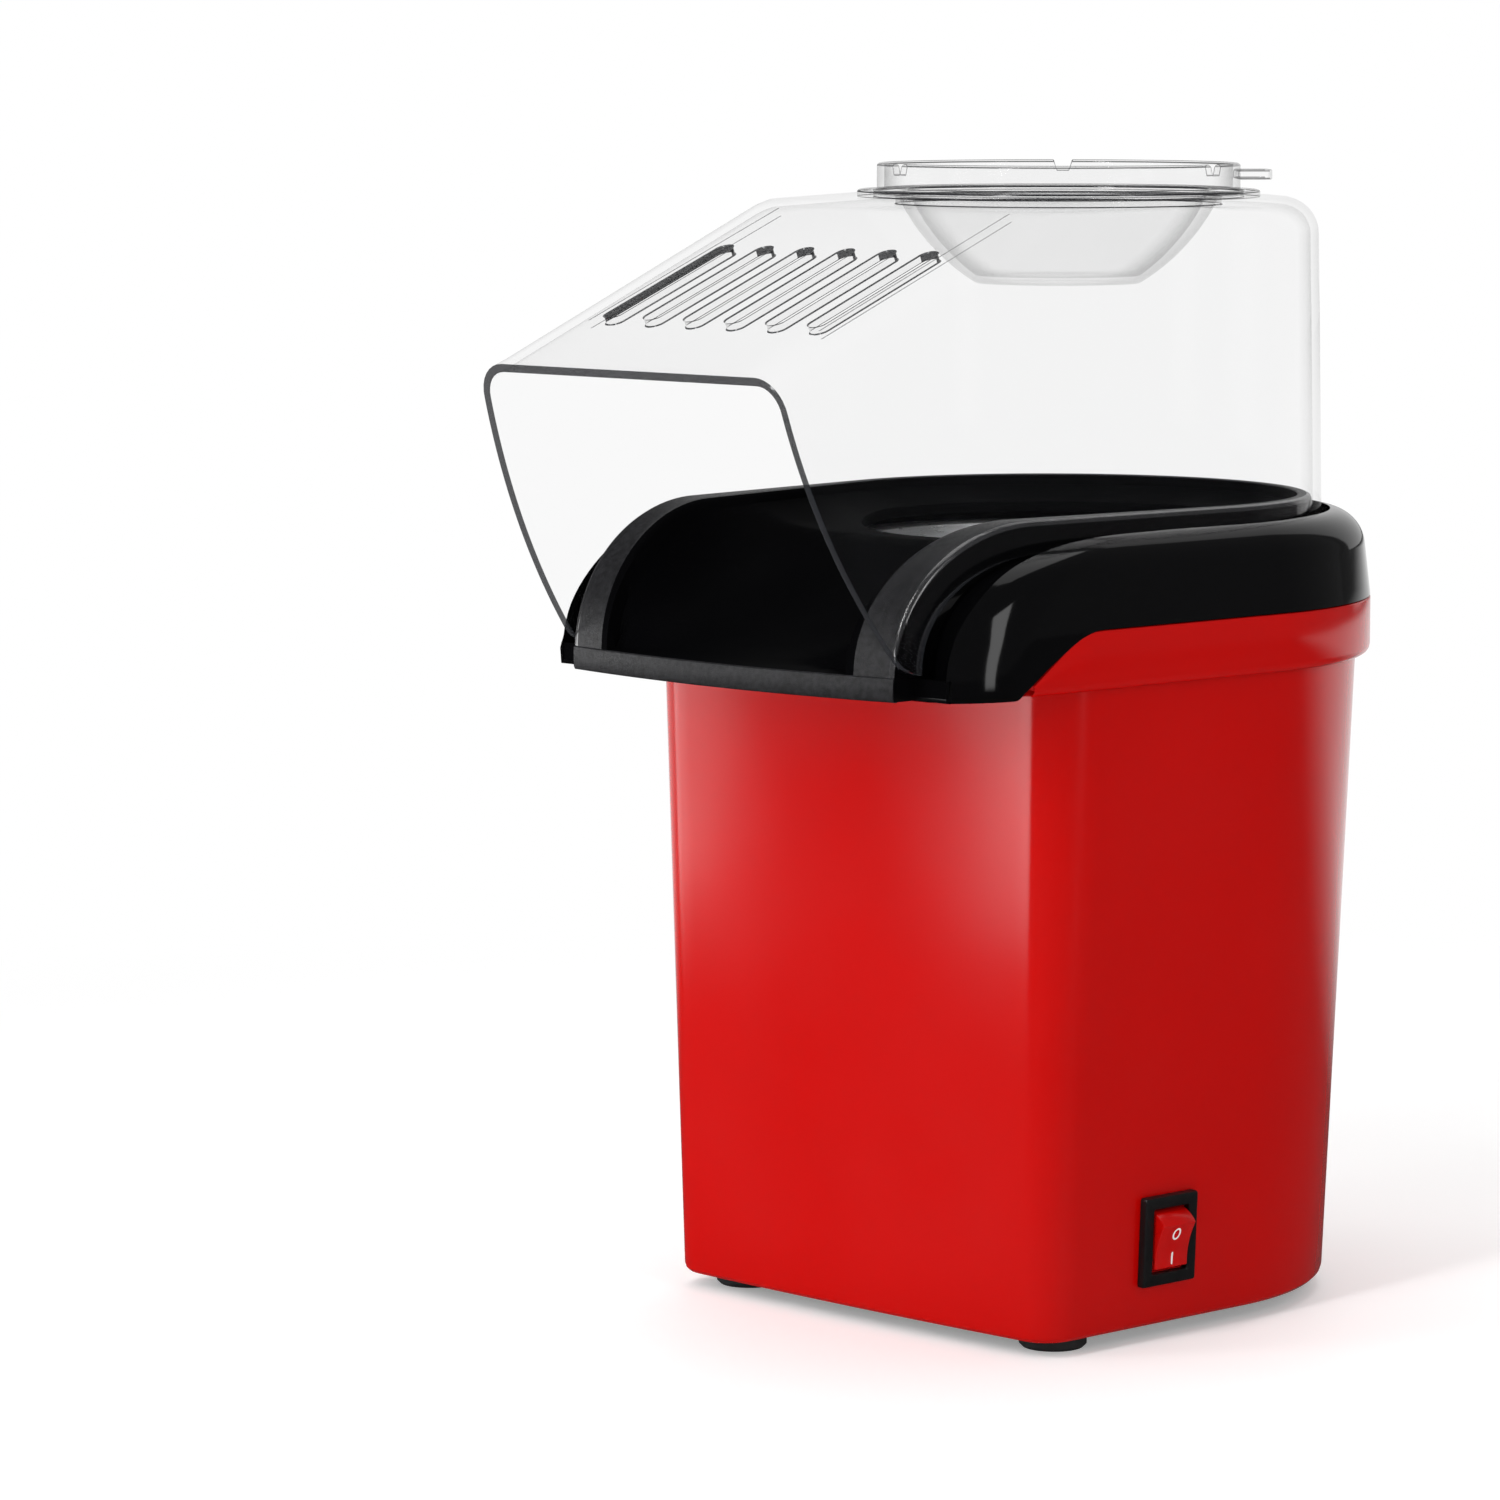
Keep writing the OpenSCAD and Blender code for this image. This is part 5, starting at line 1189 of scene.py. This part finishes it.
class POPPER_OT_switch(Operator):
    """Builds the switch's bezel and its red rocker with the marks for on and off"""

    bl_idname = "popper.switch"
    bl_label = "Rocker switch"

    def execute(self, context):
        s = sizes()
        share = (s.switch_z - s.foot_h) / s.body_h
        half = s.base_half + (s.top_half - s.base_half) * share
        draft = atan((s.top_half - s.base_half) / s.body_h)
        origin = np.array([side_half(half, s.plan_lean, s.switch_y), -s.switch_y, s.switch_z])
        cd, sd, cl, sl = cos(draft), sin(draft), cos(s.plan_lean), sin(s.plan_lean)
        tilt = np.array([[cd, 0, sd], [0, 1, 0], [-sd, 0, cd]])
        turn = np.array([[cl, sl, 0], [-sl, cl, 0], [0, 0, 1]])
        to_wall = turn @ tilt

        def placed(points):
            """From the wall's own frame (out, across, up) to the machine's."""
            return np.asarray(points, float) @ to_wall.T + origin

        red = worn("rocker_red", s.rocker, 200.0, 0.05, (0.18, 0.26), 0.01, 900.0,
                   Specular_IOR_Level=0.3)
        mark = worn("mark_white", s.mark, 500.0, 0.05, (0.4, 0.5), 0.0)
        self.frame(s, placed)
        self.rocker(s, placed, [red, mark])
        return {"FINISHED"}

    def frame(self, s, placed):
        """Bezel, pocket and body as one closed sweep of rounded rectangles in the wall's plane."""

        def loop(w, h, r, out):
            """Rounded rectangle of a width, a height and a corner radius, at a distance out."""
            quarter = circle(r, np.radians(np.arange(0, 90.1, 18)))
            loops = []
            for k, (sx, sy) in enumerate(((1, 1), (-1, 1), (-1, -1), (1, -1))):
                c, q = cos(k * pi / 2), sin(k * pi / 2)
                middle = [sx * (w / 2 - r), sy * (h / 2 - r)]
                loops.append(quarter @ np.array([[c, q], [-q, c]]) + middle)
            plan = np.concatenate(loops)
            return placed(np.column_stack([np.full(len(plan), out), plan]))

        w, h, t = s.bezel_w, s.bezel_h, s.bezel_t
        iw, ih = w - 2 * s.border, h - 2 * s.border
        # Body's width and height, its back, the pocket's floor, and the bezel's back on the wall
        bw, bh, back, pocket, wall, dot = w - 0.0034, h - 0.0034, -0.014, -0.0094, 0.00005, 0.0002
        rings = [
            loop(w, h, 0.0007, wall), loop(w, h, 0.0007, t * 0.7),
            loop(w - 0.0004, h - 0.0004, 0.0006, t * 0.92),
            loop(w - 0.0012, h - 0.0012, 0.0005, t),
            loop(iw + 0.0006, ih + 0.0006, 0.0006, t),
            loop(iw, ih, 0.0004, t - 0.0003), loop(iw, ih, 0.0004, pocket),
            loop(dot, dot, wall, pocket), loop(dot, dot, wall, back),
            loop(bw, bh, 0.0006, back), loop(bw, bh, 0.0006, wall)]
        sheets = Sheets()
        sheets.grid(rings, closed=True, loop=True)
        black = worn("bezel_black", s.bezel, 300.0, 0.2, (0.3, 0.42), 0.05, 2500.0,
                     Specular_IOR_Level=0.3)
        piece("switch_bezel", sheets.mesh("switch_bezel"), "base_unit", [black],
              ["switch_body"])

    def rocker(self, s, placed, materials):
        """Rocker as a cylinder segment about its pin with a dished face, and marks as thin raised
        rings and bars that follow the face."""
        r = s.bezel_h / 2 - s.border - 0.00035
        half = s.bezel_w / 2 - s.border - s.gap
        centre = s.pivot_deep + s.face_out
        ct, st = cos(s.tilt), sin(s.tilt)
        spin = np.array([[ct, 0, st], [0, 1, 0], [-st, 0, ct]])

        def turned(points):
            """Turns points about the pin by the rocker's tilt and places them on the wall."""
            return placed(np.asarray(points, float) @ spin.T - [s.pivot_deep, 0, 0])

        # Where the dished face meets the round back
        meet = (r * r - s.face_r ** 2 + centre ** 2) / (2 * centre)
        z_max = sqrt(max(0, r * r - meet ** 2))
        z = np.linspace(-z_max, z_max, 25)
        face = np.stack([centre - np.sqrt(s.face_r ** 2 - z * z), z], 1)
        top = np.arctan2(face[-1, 1], face[-1, 0])
        outline = np.concatenate([face, circle(r, np.linspace(top, 2 * pi - top, 49)[1:-1])])
        e = 0.0004
        out, up = outline.T
        rows = [
            turned(np.column_stack([out * k, np.full(len(outline), y), up * k])) for y, k in (
                (-half, 0.01), (-half, 0.93), (-half + 0.3 * e, 0.975), (-half + e, 1.0),
                (half - e, 1.0), (half - 0.3 * e, 0.975), (half, 0.93), (half, 0.01))]
        sheets = Sheets()
        sheets.grid(rows, closed=True)

        def on_face(y, z, lift):
            """Points just proud of the dished face."""
            proud = 0.00004 + lift
            return turned(np.stack([centre + proud - np.sqrt(s.face_r ** 2 - z * z), y, z], -1))

        a, sunk = np.linspace(0, 2 * pi, 41)[:-1], -0.0001
        # The "O": an upright ring between two ellipses, whose edges go down into the face
        wide, thin, up = (0.00125, 0.0016), (0.0008, 0.00115), 0.0028
        rings = [
            on_face(ry * np.cos(a), up + rz * np.sin(a), lift)
            for (ry, rz), lift in ((wide, sunk), (wide, 0), (thin, 0), (thin, sunk))]
        sheets.grid(rings, closed=True, slot=1)
        # The "I": an upright bar with flat sides
        thick, tall, up = 0.00026, 0.0015, -0.0034
        side = np.sign(np.cos(a)) * np.minimum(1, np.abs(np.cos(a)) * 1.6)
        bars = [
            on_face(thick * k * side, up + tall * k * np.sin(a), lift)
            for k, lift in ((1, sunk), (1, 0), (0.01, 0))]
        sheets.grid(bars, closed=True, slot=1)
        piece("switch_rocker", sheets.mesh("switch_rocker", weld=1e-6), "rocker_body",
              materials, ["rocker"])


# ---- Carried-over nodes ----


# Finish: colour, metal, roughness from and to, bump, scale of its grain, stretch, nodes
LOOKS = {
    "base_black": (
        (0.018, 0.018, 0.019), 0.0, (0.42, 0.58), 0.10, 1600, PLAIN, ["base_plate"]),
    "foot_rubber": (
        (0.02, 0.02, 0.021), 0.0, (0.7, 0.85), 0.25, 2200, PLAIN,
        ["feet", "cord_bushing", "chamber_gasket"]),
    "screw_zinc": (
        (0.62, 0.63, 0.65), 1.0, (0.22, 0.34), 0.05, 3000, PLAIN,
        ["base_screws", "collar_screws", "case_screws", "motor_screws"]),
    "chamber_aluminium": (
        (0.74, 0.745, 0.75), 1.0, (0.26, 0.40), 0.08, 1200, BRUSHED, ["popping_chamber"]),
    "duct_steel": (
        (0.50, 0.51, 0.52), 1.0, (0.3, 0.45), 0.06, 900, BRUSHED, ["heater_duct", "heater_ring"]),
    "mica_sheet": ((0.52, 0.45, 0.30), 0.0, (0.35, 0.6), 0.12, 900, PLAIN, ["mica_former"]),
    "heater_wire": ((0.30, 0.27, 0.25), 1.0, (0.4, 0.55), 0.1, 4000, PLAIN, ["heating_coil"]),
    "ceramic": (
        (0.72, 0.69, 0.60), 0.0, (0.4, 0.6), 0.08, 2000, PLAIN, ["thermostat", "thermal_fuse"]),
    "case_resin": ((0.60, 0.55, 0.43), 0.0, (0.45, 0.6), 0.08, 1500, PLAIN, ["fan_case"]),
    "motor_steel": (
        (0.45, 0.46, 0.47), 1.0, (0.25, 0.4), 0.05, 1200, BRUSHED,
        ["motor_can", "motor_shaft", "rocker_pin"]),
    "nylon": (
        (0.74, 0.72, 0.65), 0.0, (0.35, 0.5), 0.05, 1500, PLAIN, ["motor_end_cap", "fan"]),
    "brass": (
        (0.66, 0.48, 0.20), 1.0, (0.25, 0.4), 0.05, 2500, PLAIN,
        ["motor_terminals", "switch_terminals", "fan_nut"]),
    "board": ((0.03, 0.16, 0.06), 0.0, (0.3, 0.45), 0.05, 2500, PLAIN, ["rectifier_board"]),
    "diode": (
        (0.012, 0.012, 0.013), 0.0, (0.25, 0.4), 0.02, 2500, PLAIN, ["rectifier_diodes"]),
}


class POPPER_OT_fittings(Operator):
    """Gives the machine's inner and lower pieces their moulded, rubber and metal finishes"""

    bl_idname = "popper.fittings"
    bl_label = "Inner pieces"

    def execute(self, context):
        for name, (base, metal, rough, bump, grain, stretch, nodes) in LOOKS.items():
            mat = worn(name, base, 70.0, 0.08, rough, bump, grain, stretch, metallic=metal)
            for key in nodes:
                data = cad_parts[key].data
                data.materials.clear()
                data.materials.append(mat)
        return {"FINISHED"}


# ---- Stage ----


# Lamp: place, target, size across, size up, power
LAMPS = {
    "key": ((0.12, -1.05, 0.85), (0, 0, 0.14), 0.14, 1.2, 7.4),
    "front_left": ((-0.56, -0.33, 0.05), (-0.02, -0.03, 0.16), 0.24, 0.46, 1.4),
    "front_strip": ((-0.185, -0.42, 0.19), (0.03, -0.04, 0.16), 0.12, 0.34, 0.65),
    "side": ((1.30, -0.10, 0.62), (0, 0, 0.25), 0.26, 1.25, 5.5),
    "top": ((-0.1, 0.15, 1.3), (0, 0, 0.1), 0.9, 0.9, 4.5),
    "back": ((-0.5, 1.2, 0.8), (0, 0, 0.15), 1.4, 1.4, 4.0),
}


class POPPER_OT_stage(Operator):
    """Sets the camera, the soft lamps, the pale floor and the backdrop"""

    bl_idname = "popper.stage"
    bl_label = "Stage"

    def execute(self, context):
        scene = context.scene
        scene.view_settings.view_transform = "Standard"
        self.camera(scene)
        self.floor(scene)
        self.world(scene)
        for name, (place, target, width, height, power) in LAMPS.items():
            light = bpy.data.lights.new(name, "AREA")
            light.shape = "RECTANGLE"
            light.size, light.size_y, light.energy = width, height, power
            obj = bpy.data.objects.new(name, light)
            scene.collection.objects.link(obj)
            obj.location = place
            aim = Vector(target) - Vector(place)
            obj.rotation_euler = aim.to_track_quat("-Z", "Y").to_euler()
            obj.visible_camera = False
        return {"FINISHED"}

    def camera(self, scene):
        """Camera at the viewing angle, far away and long, so that verticals stay nearly upright."""
        data = bpy.data.cameras.new("camera")
        data.lens, data.sensor_width = 138.0, 36.0
        data.clip_start, data.clip_end = 0.05, 50
        camera = bpy.data.objects.new("camera", data)
        scene.collection.objects.link(camera)
        camera.location = (0.92821, -1.01560, 0.30126)
        camera.rotation_euler = (radians(83.1), 0, VIEW_TURN)
        scene.camera = camera

    def floor(self, scene):
        """Wide floor that turns up into a backdrop along a quarter circle, away from the camera."""
        a = np.linspace(0, pi / 2, 13)
        bend, far = 1.0, 3.0
        bow = np.stack([far + bend * np.sin(a), bend * (1 - np.cos(a))], 1)
        profile = np.concatenate([[[-3.0, 0]], bow, [[far + bend, 5.0]]])
        rows = np.stack([np.insert(profile, 0, x, axis=1) for x in (-5.0, 5.0)])
        c, q = cos(VIEW_TURN), sin(VIEW_TURN)
        turn = np.array([[c, q, 0], [-q, c, 0], [0, 0, 1]])
        sheets = Sheets()
        sheets.grid(rows @ turn - [0, AXIS_Y, 0])
        data = sheets.mesh("floor")
        upward(data)
        data.shade_smooth()
        obj = bpy.data.objects.new("floor", data)
        scene.collection.objects.link(obj)
        data.materials.append(self.pale(scene.popper_finish.floor, (-q, c, 0)))

    def pale(self, base, away):
        """Plain pale floor. The camera sees it glow a little near the object and plain white
        further off. Gloss sees it dark in front and white behind the object, as seen from the
        camera's place, and dark again up the backdrop. Everything else sees the plain floor."""
        mat = material("floor_pale", base, 0.6)
        nodes = mat.node_tree.nodes
        plain = nodes["Principled BSDF"].outputs[0]
        place = node(mat, "ShaderNodeTexCoord").outputs["Object"]
        path = node(mat, "ShaderNodeLightPath").outputs
        glow = node(mat, "ShaderNodeEmission", Strength=0.25)
        white = node(mat, "ShaderNodeEmission", Strength=1.0)
        shown = node(mat, "ShaderNodeEmission")
        lit = node(mat, "ShaderNodeAddShader")
        reach = node(mat, "ShaderNodeVectorMath", operation="LENGTH")
        behind = node(mat, "ShaderNodeVectorMath", operation="DOT_PRODUCT")
        behind.inputs[1].default_value = away
        level = node(mat, "ShaderNodeSeparateXYZ")
        strength = node(mat, "ShaderNodeMath", operation="MULTIPLY")
        for reader in (reach, behind, level):
            link(mat, place, reader.inputs[0])
        link(mat, plain, lit.inputs[0])
        link(mat, glow.outputs[0], lit.inputs[1])
        far = spread(mat, reach.outputs["Value"], 0, 1, 0.25, 0.6)
        back = spread(mat, behind.outputs["Value"], 0.08, 1.0, 0.25, 0.6)
        low = spread(mat, level.outputs["Z"], 1.0, 0.1, 0.0, 0.1)
        link(mat, back, strength.inputs[0])
        link(mat, low, strength.inputs[1])
        link(mat, strength.outputs[0], shown.inputs["Strength"])
        seen = blended(mat, far, lit.outputs[0], white.outputs[0])
        rest = blended(mat, path["Is Glossy Ray"], plain, shown.outputs[0])
        surface = blended(mat, path["Is Camera Ray"], rest, seen)
        link(mat, surface, nodes["Material Output"].inputs["Surface"])
        return mat

    def world(self, scene):
        """Pale to the camera and through glass, dimmer to gloss, a plain soft light elsewhere."""
        world = bpy.data.worlds.new("studio")
        scene.world = world
        world.use_nodes = True
        nodes = world.node_tree.nodes
        soft = nodes["Background"]
        soft.inputs["Color"].default_value = (1, 1, 1, 1)
        white = node(world, "ShaderNodeBackground", Strength=1.0)
        path = node(world, "ShaderNodeLightPath").outputs
        level = spread(world, path["Is Glossy Ray"], 0.35, 0.16, 0, 1)
        link(world, level, soft.inputs["Strength"])
        seen = node(world, "ShaderNodeMath", operation="MAXIMUM")
        link(world, path["Is Camera Ray"], seen.inputs[0])
        link(world, path["Is Transmission Ray"], seen.inputs[1])
        surface = blended(world, seen.outputs[0], soft.outputs[0], white.outputs[0])
        link(world, surface, nodes["World Output"].inputs["Surface"])


# ---- Panel and registration ----


class POPPER_PT_panel(Panel):
    """Lists the pieces and the sizes of the popcorn maker"""

    bl_idname = "POPPER_PT_panel"
    bl_label = "Popcorn maker"
    bl_space_type = "VIEW_3D"
    bl_region_type = "UI"
    bl_category = "Popcorn maker"

    def draw(self, context):
        for operator in OPERATORS:
            self.layout.operator(operator.bl_idname)
        for group, kind in GROUPS.items():
            box = self.layout.box()
            box.label(text=kind.__doc__.strip())
            for key in kind.__annotations__:
                box.prop(getattr(context.scene, group), key)


OPERATORS = (
    POPPER_OT_housing,
    POPPER_OT_collar,
    POPPER_OT_hood,
    POPPER_OT_cup,
    POPPER_OT_switch,
    POPPER_OT_fittings,
    POPPER_OT_stage,
)
CLASSES = (*GROUPS.values(), *OPERATORS, POPPER_PT_panel)


def register():
    """Registers the classes and hangs the property groups on the scene."""
    for cls in CLASSES:
        bpy.utils.register_class(cls)
    for name, kind in GROUPS.items():
        setattr(bpy.types.Scene, name, PointerProperty(type=kind))


def unregister():
    """Takes the property groups and the classes away again."""
    for name in GROUPS:
        delattr(bpy.types.Scene, name)
    for cls in reversed(CLASSES):
        bpy.utils.unregister_class(cls)


def main():
    """Registers the classes and builds every piece in order."""
    register()
    for operator in OPERATORS:
        group, call = operator.bl_idname.split(".")
        getattr(getattr(bpy.ops, group), call)()


if __name__ == "__main__":
    main()
